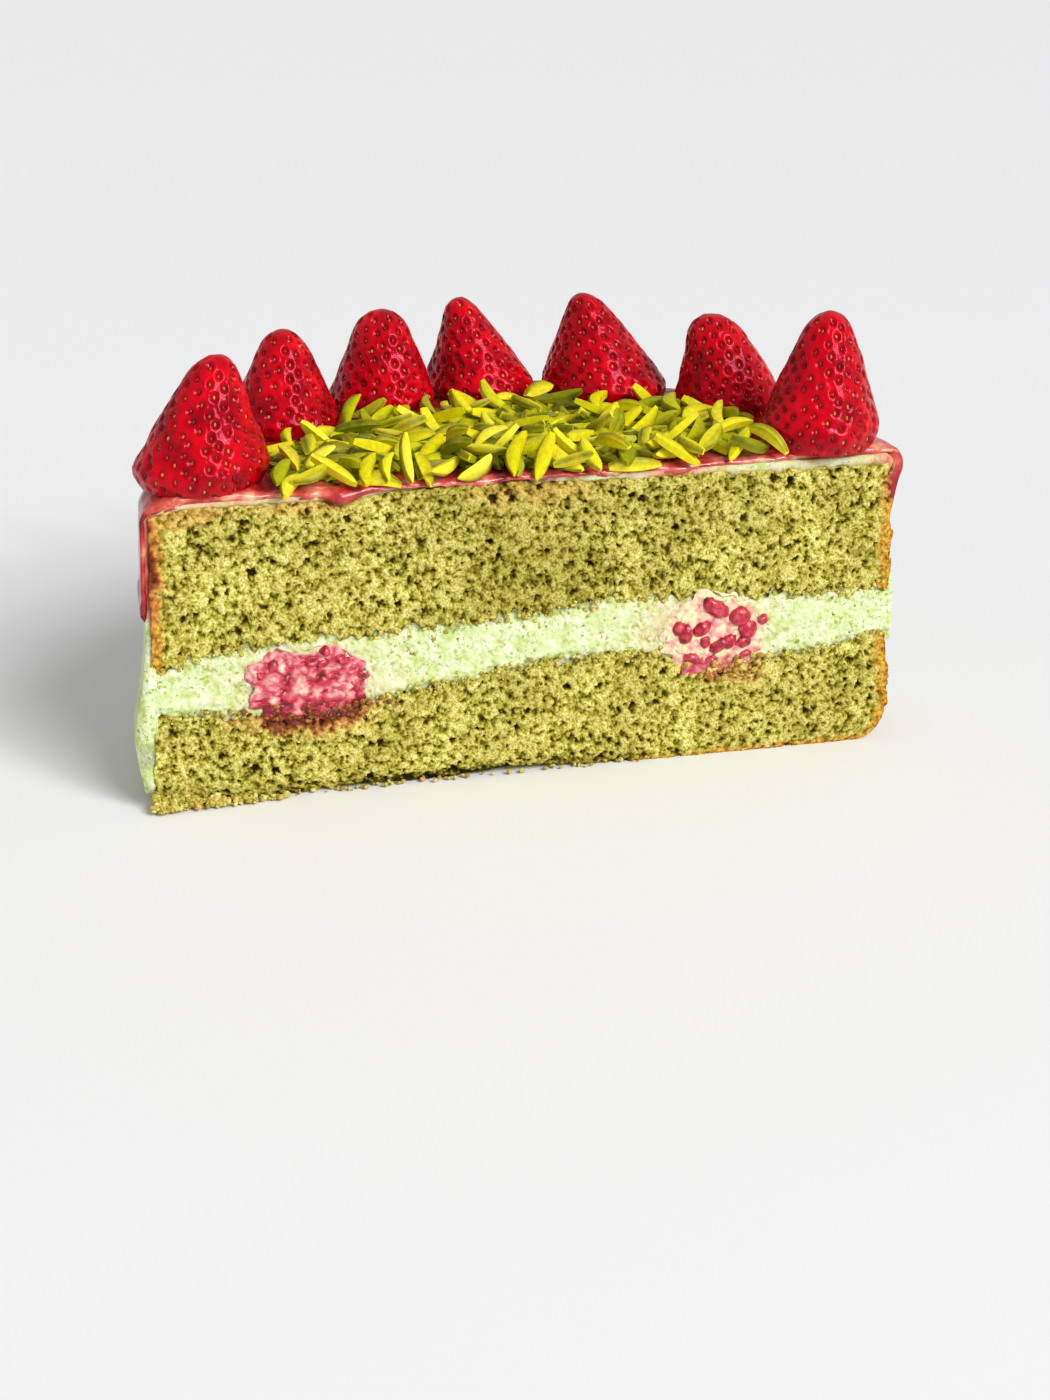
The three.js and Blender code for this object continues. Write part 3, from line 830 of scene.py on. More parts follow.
def coat():
    mesh, points, is_outer, cut = skin(
        "coat", 60,
        inner=(lambda angle, z: baked_radius(angle, z) - 0.9, side_foot, lambda x, y: sponge_top(x, y) - 0.6),
        outer=(coat_radius, side_foot, coat_top),
        rim=2.2,
    )
    x, z = points[:, 0].copy(), points[:, 2].copy()
    ragged = 0.5 + 0.45 * drift(points, 2.4, 22) + 0.35 * drift(points, 0.9, 23)
    hidden = 2.0 * spot(x + 15, 22) + 0.9 * spot(x + 88, 4) * rise(z, 30, 36)
    hidden += 2.4 * rise(x, 78, 82) * fall(z, 66, 68)
    points[:, 1] -= np.where(cut, 0.5 * ragged - 0.25 + 0.45 * rise(x, 40, 46) - hidden, 0)
    beside_filling = rise(z, 17, 20) * fall(z, 34, 37)
    tucked = (1.3 + 0.7 * drift(points, 2.6, 24)) * (1 - beside_filling)
    points[:, 1] += np.where(cut & ~is_outer, tucked, 0)
    move_points(mesh, points)
    low = fall(z, 4, 34) * (0.16 + 0.35 * drift(points, 3, 44))
    wander = drifts(points, (1, 5, 25), (0.5, 1.6, 46))
    pink = 0.18 + 0.3 * fall(x, -70, -20) + 0.75 * spot(x - 33, 8) + 0.7 * rise(x, 78, 86)
    juicy_end = rise(z + wander, 44, 48) * fall(x, -86, -80)
    pink = np.maximum((pink + 0.3 * wander) * rise(z, 65, 67), juicy_end)
    finish_piece(
        mesh, CREAM, "cream", ["cream_coat"],
        berry_tint=np.clip(pink, 0, 1), crumbed=np.clip(low, 0, 0.8),
    )


coat()

# %% [markdown]
# ## Glaze
# Fruit glaze is clear red jelly. Where it lies thin, the cream shows through and it looks coral
# pink, and where it pools or hangs in drips it is deep red. Real refraction would need many bounces
# of light to show that, so the mesh paints how thick it lies, and the finish turns that into
# colour. A clear coat gives it the wet shine.

# %% Glaze finish
def glaze_finish():
    finish = new_finish(
        "fruit_glaze", Roughness=0.3, Specular_IOR_Level=0.3, Coat_Weight=0.6, Coat_Roughness=0.08,
        Subsurface_Weight=0.15, Subsurface_Radius=(1.0, 0.25, 0.2), Subsurface_Scale=1.2 * MM,
    )
    jelly = ramp(
        finish, varied(finish, "thick", 1.1, (3.2, 4, 0.6)),
        (0.0, 232, 168, 132), (0.25, 210, 92, 76), (0.5, 180, 32, 36), (0.75, 146, 10, 18),
        (1.0, 104, 3, 10),
    )
    return dress(finish, jelly, grain(finish, 2.0, 4), 0.5)


GLAZE = glaze_finish()

# %% Glaze
def drip_foot(x, y):
    """The lower edge of the glaze on the side: it has run down in drips, furthest at the left end."""
    angle = np.arctan2(y, x)
    waves = 0.5 + 0.5 * np.sin(11 * angle + 0.7) * np.cos(4.2 * angle)
    small = 0.09 * np.sin(37 * angle) * np.cos(9 * angle + 1)
    reach = np.maximum((waves + small) * rise(angle, 0.1, 0.5), rise(angle, 2.9, 3.1))
    return SPONGE_TOP - between(8, 24, np.clip(reach, 0, 1.05))


def glaze_radius(angle, z):
    above = z - drip_foot(np.cos(angle), np.sin(angle))
    bead = 0.7 * spot(above - 1.6, 1.8) * (1 - 0.8 * bareness(angle))
    body = np.sqrt(np.clip(above / 2.0, 0, 1))
    lip = 1.1 * fall(angle, 0, 1) * rise(z, SPONGE_TOP - 6, SPONGE_TOP)
    stands_off = 0.9 * bareness(angle) * rise(above, 0, 8)
    return coat_radius(angle, z) + stands_off + 0.1 + (0.55 + bead) * body + lip


def glaze_height(x, y):
    """The top of the glaze, which creeps up the foot of each strawberry."""
    swell = drifts(np.stack([x, y, 0 * x], axis=1), (0.3, 6, 26), (0.18, 2, 27))
    for berry in STRAWBERRIES:
        outside = np.hypot(x - berry["x"], y - berry["y"]) - 0.43 * berry["width"]
        swell = swell + 0.9 * spot(np.maximum(outside, 0), 1.5)
    return glaze_top(x, y) + swell


def glaze():
    mesh, points, is_outer, cut = skin(
        "fruit_glaze", 26,
        inner=(lambda angle, z: coat_radius(angle, z) - 0.4, drip_foot, lambda x, y: coat_top(x, y) - 0.15),
        outer=(glaze_radius, drip_foot, glaze_height),
        rim=2.4,
    )
    x, line = points[:, 0], on_line(points[:, 0])
    runs = 0.35 * rise(drifts(line, (1, 9, 28), (0.4, 3, 29)), 0.1, 0.7) * rise(-x, -60, 10)
    runs = np.maximum(runs, np.maximum(1.0 * spot(x + 44, 4.5), 0.5 * spot(x - 33, 4)))
    ripple = drifts(line, (0.4, 1.8, 45), (0.25, 0.8, 52))
    points[:, 1] -= np.where(cut, 0.1 + 0.6 * runs + ripple, 0)
    points[:, 1] += np.where(cut & ~is_outer, 0.9 * (1 - runs), 0)
    points[:, 2] -= np.where(cut & ~is_outer, 2.2 * runs + 0.5 * ripple, 0)
    points[:, 2] -= np.where(cut & is_outer, 0.75 + 0.5 * runs + 0.6 * ripple, 0)
    move_points(mesh, points)
    angle = np.arctan2(points[:, 1], x)
    above = points[:, 2] - drip_foot(np.cos(angle), np.sin(angle))
    thick = 0.5 + 0.4 * drift(points, 6, 30) + 0.3 * spot(above - 2, 3)
    thick -= (0.22 + 0.3 * drift(points, 3.5, 53)) * spot(points[:, 1], 3)
    thick += 0.3 * rise(np.hypot(x, points[:, 1]), RADIUS - 2.5, RADIUS - 0.5)
    finish_piece(mesh, GLAZE, "glaze", ["glaze"], thick=np.clip(thick, 0, 1))


glaze()

# %% [markdown]
# ## Strawberries
# A strawberry is a blunt cone with some 200 seeds, each in its own pit, and the flesh between the
# pits bulges into a net that catches the light. The seeds follow a spiral: each is turned from the
# last by the golden angle, and they are spread so that each has the same area to itself.
#
# The flesh starts as a sphere of even rows and columns, whose rows are moved to even steps along the
# berry's outline. Every point then looks up its nearest seed, and sinks if it is near enough.

# %% Strawberry finish
def flesh_finish():
    finish = new_finish(
        "strawberry_flesh", Roughness=0.22, Specular_IOR_Level=0.36, Specular_Tint=(1.0, 0.12, 0.28, 1.0),
        Subsurface_Weight=0.06, Subsurface_Radius=(1.0, 0.1, 0.08), Subsurface_Scale=1.5 * MM,
        Coat_Weight=0.11, Coat_Roughness=0.12,
    )
    # The flesh is a darker red in its pits: painted shade.
    red = ramp(finish, painted(finish, "pit"), (0.0, 214, 1, 22), (0.3, 190, 0, 10), (1.0, 138, 0, 5))
    patches = ramp(finish, grain(finish, 6, 4), (0.32, 134, 88, 112), (0.66, 255, 236, 244))
    return dress(finish, blend(finish, 0.8, red, patches, "MULTIPLY"), grain(finish, 0.6, 3), 0.08)


def seed_finish():
    finish = new_finish("strawberry_seed", Roughness=0.4, Specular_IOR_Level=0.3)
    stops = (0.38, 124, 2, 4), (0.52, 160, 18, 10), (0.68, 212, 132, 62)
    return dress(finish, ramp(finish, grain(finish, 1.8, 1), *stops))


FLESH = flesh_finish()
SEED = seed_finish()

# %% The outline of a strawberry
BERRY_BASE = 0.88  # width of the cut base, as a share of the widest girth
BERRY_SHOULDER = 0.17  # height of the widest girth, as a share of the whole
OUTLINE_POINTS = 600


def berry_girth(t, blunt):
    """A cone whose tip is rounded off. The rounding makes up a share of the girth: its bluntness."""
    below = between(BERRY_BASE, 1, np.sin(math.pi / 2 * np.clip(t / BERRY_SHOULDER, 0, 1)))
    from_tip = np.clip(1 - (t - BERRY_SHOULDER) / (1 - BERRY_SHOULDER), 0, 1)
    cap = np.sqrt(1 - (1 - np.minimum(from_tip / (0.05 + 0.6 * blunt), 1)) ** 2)
    return np.where(t < BERRY_SHOULDER, below, between(from_tip ** 0.95, cap, blunt))


def berry_outline(berry):
    """Radius, height and distance along the outline, from the middle of the base to the tip."""
    t = np.sin(np.linspace(0, math.pi / 2, OUTLINE_POINTS)) ** 1.2
    radius = np.concatenate([[0], berry_girth(t, berry["blunt"]) * berry["width"] / 2])
    up = np.concatenate([[0], t * berry["height"]])
    along = np.concatenate([[0], np.cumsum(np.hypot(np.diff(radius), np.diff(up)))])
    return radius, up, along


def on_berry(berry, place, angle):
    """Smooth points on a berry, from how far along the outline they lie and their angle round it."""
    radius, up, along = berry_outline(berry)
    radius, up = np.interp(place, along, radius), np.interp(place, along, up)
    t = np.clip(up / berry["height"], 0, 1)
    radius = radius * (1 + 0.04 * np.cos(2 * (angle - berry["turn"])))
    at = np.stack([radius * np.cos(angle), radius * np.sin(angle), up], axis=1)
    swell = drifts(at + berry["width"] * 3, (0.45, 7, 33), (0.2, 3, 39)) * rise(up, 0, 3)
    at[:, 0] += swell * np.cos(angle) + berry["x"] + berry["lean_x"] * t ** 1.3
    at[:, 1] += swell * np.sin(angle) + berry["y"] + berry["lean_y"] * t ** 1.3
    at[:, 2] += glaze_top(np.array([berry["x"]]), np.array([berry["y"]]))[0] + 0.1
    return at


# %% One strawberry
PIT_RADIUS = 1.05
PIT_DEPTH = 0.52
RIM_HEIGHT = 0.18
AREA_PER_SEED = 9.0
GOLDEN_ANGLE = math.pi * (3 - math.sqrt(5))


def unit(vectors):
    return vectors / np.linalg.norm(vectors, axis=1, keepdims=True)


def seed_places(berry):
    """Where the seeds lie: points on the surface, the way out of it and the way up along it."""
    radius, up, along = berry_outline(berry)
    area = np.concatenate([[0], np.cumsum(2 * math.pi * (radius[1:] + radius[:-1]) / 2 * np.diff(along))])
    base_area = area[1]
    count = int((area[-1] - base_area) / AREA_PER_SEED)
    draws = np.random.default_rng(int(berry["width"] * 10))
    share = (np.arange(count) + 0.5 + draws.uniform(-1.5, 1.5, count)) / count
    place = np.interp(between(base_area, area[-1], share * 0.985), area, along)
    angle = np.arange(count) * GOLDEN_ANGLE + draws.uniform(-0.07, 0.07, count)
    middle = on_berry(berry, place, angle)
    upward = on_berry(berry, place + 0.3, angle) - middle
    sideways = on_berry(berry, place, angle + 0.02) - middle
    return middle, unit(np.cross(sideways, upward)), unit(upward)


def strawberry(number, berry):
    ball = bmesh.new()
    bmesh.ops.create_uvsphere(ball, u_segments=150, v_segments=100, radius=1)
    mesh = as_mesh(ball, f"strawberry_flesh_{number}")
    sphere = points_of(mesh)
    row = np.arccos(np.clip(-sphere[:, 2], -1, 1)) / math.pi
    outline_length = berry_outline(berry)[2][-1]
    points = on_berry(berry, row * outline_length, np.arctan2(sphere[:, 1], sphere[:, 0]))
    seeds, outward, upward = seed_places(berry)
    tree = KDTree(len(seeds))
    for index, seed in enumerate(seeds):
        tree.insert(seed, index)
    tree.balance()
    index = np.array([tree.find(point)[1] for point in points])
    away = points - seeds[index]
    lengthwise = np.sum(away * upward[index], axis=1)
    gap = np.sqrt(np.clip(np.sum(away ** 2, axis=1) - 0.35 * lengthwise ** 2, 0, None))
    bowl = np.clip(1 - (gap / PIT_RADIUS) ** 2, 0, 1) ** 1.5
    rim = spot(gap - PIT_RADIUS - 0.15, 0.45)
    points += outward[index] * (RIM_HEIGHT * rim - PIT_DEPTH * bowl)[:, None]
    move_points(mesh, points)
    # How deep each point lies in its pit is painted too, as shade for the finish.
    finish_piece(mesh, FLESH, "strawberry", [f"strawberry_{number}"], pit=bowl)
    return seeds - outward * (PIT_DEPTH - 0.12), outward, upward


seed_rows = [strawberry(number, berry) for number, berry in enumerate(STRAWBERRIES, 1)]

# %% [markdown]
# ## Seeds
# A seed is a flattened drop, 1.1 mm long. One small ball of 8 by 6 faces is enough for each, and all
# of them go into one mesh, each placed by a matrix whose axes lie along the berry's surface.

# %% All the seeds in one mesh
SEED_SIZE = (0.34, 0.54, 0.22)  # half width, half length, half thickness


def join_copies(name, copies):
    """One mesh made of copies. Each is a pair of a small mesh and the matrix that places it."""
    whole = bmesh.new()
    shapes = {small: points_of(small) for small, _ in copies}
    for small, place in copies:
        matrix = np.array(place)
        move_points(small, shapes[small] @ matrix[:3, :3].T + matrix[:3, 3])
        whole.from_mesh(small)
    return as_mesh(whole, name)


def for_each_copy(copies, values):
    """One number for each copy, repeated for each of its vertices."""
    return np.repeat(values, [len(small.vertices) for small, _ in copies])


def seed_copies():
    ball = bmesh.new()
    bmesh.ops.create_uvsphere(ball, u_segments=8, v_segments=6, radius=1)
    ball = as_mesh(ball, "seed")
    for middles, outwards, upwards in seed_rows:
        for middle, outward, upward in zip(middles, outwards, upwards):
            out, up = Vector(outward), Vector(upward)
            turned = Matrix((up.cross(out), up, out)).transposed().to_4x4()
            yield ball, Matrix.Translation(middle) @ turned @ Matrix.Diagonal((*SEED_SIZE, 1))


finish_piece(join_copies("strawberry_seeds", list(seed_copies())), SEED, "strawberry")

# %% [markdown]
# ## Pistachios
# The heap is several hundred slivers, 8 to 12 mm long. Dropping them with a physics run would take
# long and could fall differently next time, so they are laid by a simple rule: each sliver rests on
# the highest points under it, on both sides of its middle, and then raises the ground for the next.
# The ground is a grid of heights, which starts as a low core over the glaze.
#
# A bed of slivers comes first. It lies on the core, fills what shows through the gaps, and does not
# raise the ground. The bed gets darker tones and the core the darkest, as painted shade under the
# heap. Then come those along the cut, most of them across its edge, where they tip over it, and at
# last the heap, in which many lean on their neighbours.

# %% Pistachio finish
def pistachio_finish():
    finish = new_finish(
        "pistachio", Roughness=0.45, Specular_IOR_Level=0.18,
        Subsurface_Weight=0.2, Subsurface_Radius=(1.0, 1.0, 0.05), Subsurface_Scale=0.8 * MM,
    )
    # Tone runs from bright to dark green; its dark end also stands as painted shade, on the bed and the core.
    flesh = ramp(
        finish, painted(finish, "tone"),
        (0.0, 250, 240, 60), (0.3, 238, 227, 12), (0.6, 198, 200, 4), (0.85, 116, 128, 2), (1.0, 58, 48, 2),
    )
    skins = ramp(finish, grain(finish, 3.5, 3), (0.35, 50, 64, 3), (0.52, 112, 116, 5), (0.68, 150, 100, 30))
    colour = blend(finish, maths(finish, "MULTIPLY", painted(finish, "skin"), 0.85), flesh, skins)
    fine = ramp(finish, grain(finish, 1.2, 3), (0.3, 216, 206, 150), (0.7, 255, 255, 236))
    return dress(finish, blend(finish, 0.7, colour, fine, "MULTIPLY"), grain(finish, 0.8, 3), 0.1)


PISTACHIO = pistachio_finish()

# %% The core of the heap
HEAP_RADIUS = 61
HEAP_PEAK_Y = 36


def heap_height(x, y):
    """How high above the glaze the uppermost slivers may rest."""
    from_peak = np.hypot(x * 0.7 - 5, y - HEAP_PEAK_Y) / HEAP_RADIUS
    swell = between(2.3, 2.9, fall(from_peak, 0.15, 0.95))
    swell += 0.9 * spot(np.hypot(x - 44, y - 24), 13) - 0.9 * spot(np.hypot(x - 2, y - 48), 18)
    place = np.stack([x, y, 0 * x + 5], axis=1)
    return swell + 0.8 * (0.5 + 0.5 * drift(place, 9, 34))


def core_height(x, y):
    return 0.35 * heap_height(x, y) * rise(y, 5, 16)


def heap_core():
    mesh = as_mesh(grid_box(90, 45, 2), "pistachio_core")
    box_points = points_of(mesh)
    points = half_disc(
        box_points,
        edge=lambda angle, z: 0 * angle + HEAP_RADIUS - 4,
        low=lambda x, y: glaze_top(x, y) - 0.4,
        high=lambda x, y: glaze_top(x, y) - 0.2 + core_height(x, y),
    )
    points[:, 1] = np.maximum(points[:, 1], 4)
    points[:, 2] += np.where(box_points[:, 2] > 0.9, 0.5 * drift(points, 2.5, 35), 0)
    move_points(mesh, points)
    # The core is painted in the darkest tone and all skin: painted shade for the gaps between slivers.
    finish_piece(mesh, PISTACHIO, "pistachio", ["pistachios"], tone=1.0, skin=1.0)


heap_core()

# %% The shape of one sliver
SLIVER_SECTIONS = 8


def sliver_shape(draws):
    """A slice cut lengthwise from a nut, 1 long, 1 wide and 1 thick. Its far edge is the nut's skin."""
    bm = grid_box(SLIVER_SECTIONS, 2, 2)
    bmesh.ops.translate(bm, verts=bm.verts, vec=(0, -0.5, -0.5))
    bmesh.ops.scale(bm, verts=bm.verts, vec=(0.5, 1, 1))
    bow = draws.uniform(-0.05, 0.4)
    blunt = draws.uniform(0.02, 0.16), draws.uniform(0.04, 0.4)
    flat = draws.uniform(0.4, 0.9)
    sharp = draws.uniform(1.4, 2.4)
    slant = draws.uniform(-0.08, 0.08)
    skin_layer = bm.verts.layers.float.new("skin")
    for v in bm.verts:
        x, y, z = v.co
        end = abs(2 * x)
        girth = blunt[x > 0] + (1 - blunt[x > 0]) * max(0.0, 1 - end ** sharp) ** 0.85
        middle_row = abs(z) < 0.1
        if y > 0.1:
            v[skin_layer] = 1.0 if middle_row else 0.5
            y *= girth * (1.1 if middle_row else 0.78)
        elif y < -0.1:
            y *= flat * girth ** 0.5 * (1.0 if middle_row else 0.95)
        v.co = (x + slant * y, y + bow * (1 - end ** 2) - bow / 2, z * (0.55 + 0.45 * girth))
    return as_mesh(bm, "sliver")


# %% The ground that slivers rest on
CELL = 0.6
GROUND_X = np.arange(-66, 66, CELL)
GROUND_Y = np.arange(-4, 68, CELL)


def first_ground():
    x, y = (axis.ravel() for axis in np.meshgrid(GROUND_X, GROUND_Y, indexing="ij"))
    height = glaze_top(x, y) + np.where(np.hypot(x, y) < HEAP_RADIUS - 3, core_height(x, y), 0)
    height = np.where(y < -0.4, SPONGE_TOP - 1.5, height)
    for berry in STRAWBERRIES:
        inside = np.hypot(x - berry["x"], y - berry["y"]) < berry["width"] / 2 + 0.3
        height = np.where(inside, height + 40, height)
    return height.reshape(len(GROUND_X), len(GROUND_Y))


def cells_under(x, y, heading, length, width, steps):
    """Grid cells under a sliver, with how far along it each lies."""
    along, aside = np.meshgrid(np.linspace(-0.5, 0.5, steps[0]), np.linspace(-0.4, 0.4, steps[1]))
    along, aside = along.ravel() * length, aside.ravel() * width
    column = ((x + along * math.cos(heading) - aside * math.sin(heading) - GROUND_X[0]) / CELL).round()
    row = ((y + along * math.sin(heading) + aside * math.cos(heading) - GROUND_Y[0]) / CELL).round()
    column = np.clip(column.astype(int), 0, len(GROUND_X) - 1)
    row = np.clip(row.astype(int), 0, len(GROUND_Y) - 1)
    return along, column, row


def rest_on(along, heights):
    """Height of the middle and slope of a stick that rests on the highest points under it."""
    best = (heights[np.abs(along) < 0.6].max(), 0.0)
    for near, low in zip(along[along < -0.6], heights[along < -0.6]):
        for far, high in zip(along[along > 0.6], heights[along > 0.6]):
            slope = (high - low) / (far - near)
            middle = low - slope * near
            if middle > best[0]:
                best = (middle, slope)
    return best


# %% Where a sliver falls and how it lies
BED_BEGINS = 7  # this far behind the cut
PAST_CUT = 4.2  # how far a sliver of the front may reach over the cut
LEANS = 0.42  # the share of slivers that lean


def falls_at(draws, front):
    """x, y and heading: along the edge of the cut, or anywhere in the half disc of the heap."""
    heading = draws.uniform(0, math.pi)
    if front:
        x, y = draws.uniform(-61, 60), draws.uniform(-1.0, 4.5)
        if draws.random() < 0.7:
            heading = math.pi / 2 + draws.uniform(-0.9, 0.9)
        return x, y, heading
    reach = HEAP_RADIUS * math.sqrt(draws.random())
    side = draws.uniform(0, math.pi)
    return reach * math.cos(side), reach * math.sin(side), heading


def tipped(draws, bed, front, y, heading, length, middle, slope):
    """Some slivers tip over the edge of the cut, and some lean on their neighbours."""
    if front and math.sin(heading) > 0.6:
        tilt = draws.uniform(0.1, 0.55)
        return middle + tilt * (y + 0.6) / math.sin(heading), slope + tilt
    if not bed and draws.random() < LEANS:
        tilt = draws.uniform(0.2, 0.6) * draws.choice((-1, 1))
        return middle + 0.3 * length * abs(tilt), slope + tilt
    return middle, slope


# %% The heap
BED = 300  # slivers that lie on the core, seen only through the gaps between the others
ATTEMPTS = 16000
FRONT_ATTEMPTS = 2600  # the next ones go along the edge of the cut
STEEPEST = 0.9
SHAPES = 18
SHARP_EDGE = math.radians(46)


def heap_of_slivers():
    draws = random.Random(21)
    ground = first_ground()
    shapes = [sliver_shape(draws) for _ in range(SHAPES)]
    copies, tones = [], []
    for attempt in range(ATTEMPTS):
        bed = len(copies) < BED
        front = not bed and attempt < FRONT_ATTEMPTS
        length = draws.uniform(8.5, 12.5)
        width = draws.uniform(2.8, 4.3)
        thickness = draws.uniform(1.6, 2.5)
        x, y, heading = falls_at(draws, front)
        foremost = y - length / 2 * abs(math.sin(heading))
        if (bed and y < BED_BEGINS) or foremost < (-PAST_CUT if front else -1.0):
            continue
        along, column, row = cells_under(x, y, heading, length, width, (9, 3))
        middle, slope = rest_on(along, ground[column, row])
        here = np.array([x]), np.array([y])
        if abs(slope) > STEEPEST or middle > glaze_top(*here)[0] + heap_height(*here)[0]:
            continue
        middle, slope = tipped(draws, bed, front, y, heading, length, middle, slope)
        over = draws.choice((0, 0, 1)) * math.pi
        roll = draws.uniform(-0.6, 0.6) if draws.random() < 0.75 else draws.uniform(0.9, 1.6)
        place = (
            Matrix.Translation((x, y, middle + thickness * 0.45))
            @ Matrix.Rotation(heading, 4, "Z")
            @ Matrix.Rotation(-math.atan(slope), 4, "Y")
            @ Matrix.Rotation(roll + over, 4, "X")
            @ Matrix.Diagonal((length, width, thickness, 1))
        )
        copies.append((draws.choice(shapes), place))
        # The bed's slivers get darker tones than the heap's: painted shade under the heap.
        tones.append(draws.uniform(0.45, 0.9) if bed else draws.betavariate(1.0, 2.0))
        if not bed:
            along, column, row = cells_under(x, y, heading, length, width, (20, 6))
            ground[column, row] = np.maximum(ground[column, row], middle + slope * along + thickness * 0.8)
    mesh = join_copies("pistachio_slivers", copies)
    print(f"{len(copies)} slivers laid, the heap reaches {points_of(mesh)[:, 2].max():.1f} mm")
    finish_piece(mesh, PISTACHIO, "pistachio", ["pistachios"], tone=for_each_copy(copies, tones))
    mesh.set_sharp_from_angle(angle=SHARP_EDGE)


heap_of_slivers()

# %% [markdown]
# ## Raspberries at the cut
# The knife crushed both. What shows is pink pulp with single drupelets in it, glossy and dark where
# they stayed whole. A ball, flattened at the cut and broken up by rounded cells and noise, makes the
# pulp. The crevices between the cells get painted shade and their tops a paler painted highlight,
# and the pulp is darker towards the bottom. Its border fades to the colour of the cream that it is
# smeared into, and a few larger beads stand in it where whole drupelets show. Building every
# drupelet would give a whole berry, which this no longer is.

# %% Raspberry finish
def raspberry_finish():
    finish = new_finish(
        "raspberry", Roughness=0.3, Specular_IOR_Level=0.4, Coat_Weight=0.35, Coat_Roughness=0.15,
        Subsurface_Weight=0.2, Subsurface_Radius=(1.0, 0.3, 0.3), Subsurface_Scale=1.2 * MM,
    )
    # The pulp's colour reads ripeness together with the painted shade and painted highlight of its cells.
    pulp = ramp(
        finish, varied(finish, "ripe", 0.8, (1.4, 4, 0.65)),
        (0.0, 238, 226, 176), (0.25, 236, 160, 150), (0.5, 206, 88, 106), (0.75, 184, 16, 46),
        (1.0, 104, 0, 14),
    )
    return dress(finish, pulp, grain(finish, 0.7, 4), 0.25)


RASPBERRY = raspberry_finish()

# %% Raspberries
PULP_DEPTH = 8  # how far a berry reaches behind the cut
BEAD_DEPTH = 1.5


def drupelet(x, z, wide, high, lean, proud):
    """The matrix of a bead in the cut face, leaning by an angle, which stands out of it by proud mm."""
    place = Matrix.Translation((x, 1.2 - proud, z)) @ Matrix.Rotation(math.radians(lean), 4, "Y")
    return place @ Matrix.Diagonal((wide / 2, BEAD_DEPTH, high / 2, 1))


def raspberry(side, x, z, width, height, ripeness, relief, seed, beads):
    """relief is 1 where the pulp stands out in lumps, and less where the knife smeared it flat."""
    bm = bmesh.new()
    bmesh.ops.create_icosphere(bm, subdivisions=6, radius=1)
    pulp = slice(0, len(bm.verts))
    for bead in beads:
        bmesh.ops.create_icosphere(bm, subdivisions=4, radius=1, matrix=drupelet(*bead))
    mesh = as_mesh(bm, f"crushed_raspberry_{side}")
    points = points_of(mesh)
    ball = points[pulp]  # a view, so what moves the ball moves the points
    outline = 1 + drifts(ball * 10, (0.26, 6, seed), (0.24, 2.5, seed + 1))
    ball[:, 0] = x + ball[:, 0] * width / 2 * outline
    ball[:, 2] = z + ball[:, 2] * height / 2 * outline
    face = np.sqrt(-ball[:, 1].clip(None, 0))
    ball[:, 1] = np.where(ball[:, 1] > 0, ball[:, 1] * PULP_DEPTH, 1.0 - (0.8 + 0.8 * relief) * face)
    bumps, fate = granules(ball + 0.9 * three_drifts(ball, 1.6, (seed + 4, seed + 5, seed + 6)), 2.1, seed)
    rubble = drifts(ball, (0.5, 1.3, seed + 2), (0.35, 0.7, seed + 8))
    ball[:, 1] -= relief * face * (0.7 * (bumps - 0.6) + rubble)
    ripe = np.full(len(points), 0.76)
    # Painted shade in the crevices between the cells and a paler painted highlight on their tops.
    ripe[pulp] = ripeness + relief * (0.4 * (fate - 0.5) + 0.4 * (0.7 - bumps) - 0.25 * rubble)
    # Darker towards the bottom of the berry.
    ripe[pulp] += 0.25 * drift(ball, 3.5, seed + 7) + 0.45 * rise(z - ball[:, 2], 0.15 * height, 0.5 * height)
    ripe[pulp] -= 0.35 * (1 - relief) * (1 - face)
    wobble = drift(points, 1.6, seed + 3)
    points[pulp.stop:] += 0.35 * wobble[pulp.stop:, None]
    ripe += 0.3 * wobble
    move_points(mesh, points)
    finish_piece(mesh, RASPBERRY, "raspberry", [f"raspberry_{side}"], ripe=np.clip(ripe, 0, 1))


raspberry(
    "left", RASPBERRY_X[0], 27.7, 27.5, 16, ripeness=0.54, relief=1.0, seed=71,
    beads=[
        (-60.4, 32.4, 3.4, 2.8, 20, 0.8), (-58.6, 30.8, 2.6, 2.2, 0, 0.5), (-63.6, 30.4, 2.4, 2.0, 30, 0.6),
        (-48.6, 34.8, 2.6, 2.8, 0, 0.6), (-49.4, 32.2, 3.2, 2.6, -20, 0.8), (-45.4, 32.8, 2.8, 2.6, 0, 0.7),
        (-42.2, 27.0, 3.0, 2.2, 40, 0.5),
    ],
)
raspberry(
    "right", RASPBERRY_X[1], 30.8, 24, 18, ripeness=0.16, relief=0.5, seed=83,
    beads=[
        (43.4, 37.6, 7.6, 4.0, 33, 1.2), (49.4, 35.0, 5.2, 4.8, 10, 1.4), (51.4, 31.8, 4.6, 5.0, -25, 1.3),
        (34.6, 33.2, 3.2, 3.4, 0, 0.8), (36.4, 31.6, 3.4, 5.0, 15, 1.1), (40.2, 32.8, 4.6, 3.4, -20, 1.0),
        (41.0, 29.4, 3.2, 3.4, 0, 0.8), (44.4, 28.2, 5.2, 3.0, -30, 1.0), (47.2, 29.0, 3.2, 4.0, 25, 0.9),
        (50.6, 28.6, 4.2, 3.0, 0, 0.9), (55.4, 33.8, 2.8, 2.4, 20, 0.5), (38.2, 25.4, 4.6, 3.0, 20, 0.6),
        (43.0, 25.0, 3.6, 2.6, 0, 0.5), (51.4, 25.6, 3.2, 2.2, 0, 0.5),
    ],
)

# %% [markdown]
# ## Crumbs
# A cut sponge sheds crumbs: in a little pile at the left end, along the foot, on the cream where the
# knife dragged them, and thickest along the torn joints, where they still cling. Under the
# raspberries they lie soaked with juice. Each is a tiny ball knocked out of round by chance, and all
# of them share one mesh with the finish of the sponge.

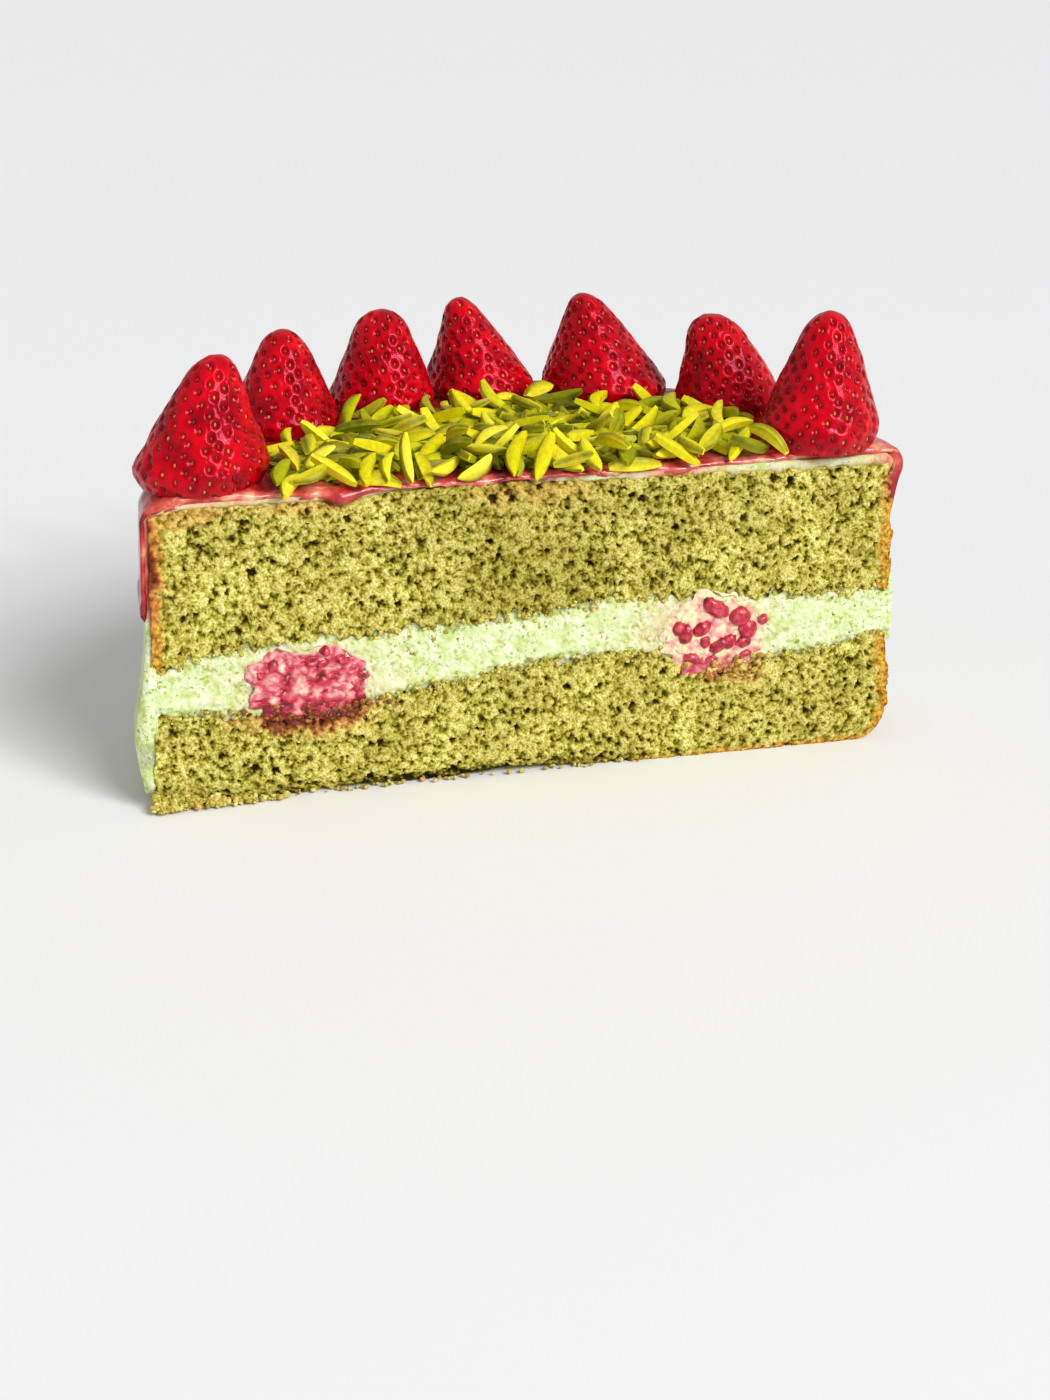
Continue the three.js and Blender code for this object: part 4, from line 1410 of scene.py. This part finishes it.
# %% Loose crumbs
LUMPS = 12
CLEAR_OF_BERRY = 13
SOAKED_CRUMBS = (
    # count, sizes, middle and spread along x, heights, places behind the cut, stain
    (90, (0.4, 1.1), (47, 5), (19.5, 25.5), (0, 0.6), (0.2, 0.8)),
    (110, (0.35, 0.9), (-51, 6), (18.5, 23), (-0.2, 0.4), (0.8, 1.0)),
)


def lump(draws):
    bm = bmesh.new()
    bmesh.ops.create_icosphere(bm, subdivisions=2, radius=1)
    for v in bm.verts:
        v.co *= draws.uniform(0.7, 1.2)
    return as_mesh(bm, "lump")


def joint_height(heights, x):
    return float(along_cut(heights, np.array([x]))[0])


def clear_of_berries(x):
    return min(abs(x - berry_x) for berry_x in RASPBERRY_X) > CLEAR_OF_BERRY


def crumbs():
    draws = random.Random(23)
    lumps = [lump(draws) for _ in range(LUMPS)]
    copies, looks = [], []

    def drop(x, y, z, size, crust=0.0, stain=0.0):
        place = (
            Matrix.Translation((x, y, z))
            @ Matrix.Rotation(draws.uniform(0, 6.3), 4, draws.choice("XYZ"))
            @ Matrix.Diagonal((size, size * draws.uniform(0.5, 1), size * draws.uniform(0.5, 0.9), 1))
        )
        copies.append((draws.choice(lumps), place))
        looks.append((draws.uniform(0, 0.5), crust, stain))

    for _ in range(420):  # the pile at the left end
        size = draws.uniform(0.25, 0.95)
        along = draws.random() * draws.random()
        y = -min(abs(draws.gauss(0, 1.6)), 3) * (1 - 0.6 * along)
        z = size * 1.2 + draws.uniform(0, max(0, 3.2 * (1 - along) + y * 0.7))
        x = between(-88, -56, along) + draws.uniform(-1, 1)
        drop(x, y, z, size, draws.choice((0, 0, 0, 0.4)), draws.choice((0, 0, 0, 0.3)))
    for _ in range(70):  # along the foot of the cut
        size = draws.uniform(0.2, 0.7)
        drop(draws.uniform(-70, 30), draws.uniform(0.2, 2.0), size * 1.2, size, draws.choice((0, 0.5)))
    for _ in range(380):  # on the cream, most near its edges
        x = draws.uniform(-86, 86)
        share = draws.betavariate(0.35, 0.4)
        size = draws.uniform(0.14, 0.4) * (1.8 if abs(share - 0.5) > 0.42 else 1)
        z = between(joint_height(FILLING_UNDERSIDE, x), joint_height(FILLING_UPPERSIDE, x), share)
        if clear_of_berries(x):
            drop(x, draws.uniform(0.3, 0.6), z, size, draws.choice((0, 0, 0, 0.25)))
    for _ in range(520):  # clinging to the torn edges of both layers
        x = draws.uniform(-85, 86)
        z = joint_height(draws.choice((FILLING_UNDERSIDE, FILLING_UPPERSIDE)), x) + draws.gauss(0, 1.3)
        if clear_of_berries(x):
            drop(x, draws.uniform(0.2, 0.9), z, draws.uniform(0.25, 0.75), draws.choice((0, 0, 0, 0.3)))
    for count, sizes, middle, heights, depths, stains in SOAKED_CRUMBS:  # under the raspberries
        for _ in range(count):
            size = draws.uniform(*sizes)
            x, z = draws.gauss(*middle), draws.uniform(*heights)
            drop(x, draws.uniform(*depths), z, size, 0, draws.uniform(*stains))
    mesh = join_copies("crumbs", copies)
    pit, crust, stain = (for_each_copy(copies, values) for values in zip(*looks))
    finish_piece(mesh, SPONGE, "sponge", pit=pit, crust=crust, stain=stain, shade=0.4)


crumbs()

# %% [markdown]
# ## The size of it
# The box of the finished cake is printed beside the box of the imported solids. The finished cake
# has to fill the same box as the imported solids, give or take a few millimetres.

# %% Sizes, for comparison
visual_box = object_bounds()
sizes = {
    "cad": [list(corner) for corner in cad_box],
    "visual": [list(corner) for corner in visual_box],
}
print("cad   ", [[round(value / MM, 1) for value in corner] for corner in sizes["cad"]])
print("visual", [[round(value / MM, 1) for value in corner] for corner in sizes["visual"]])
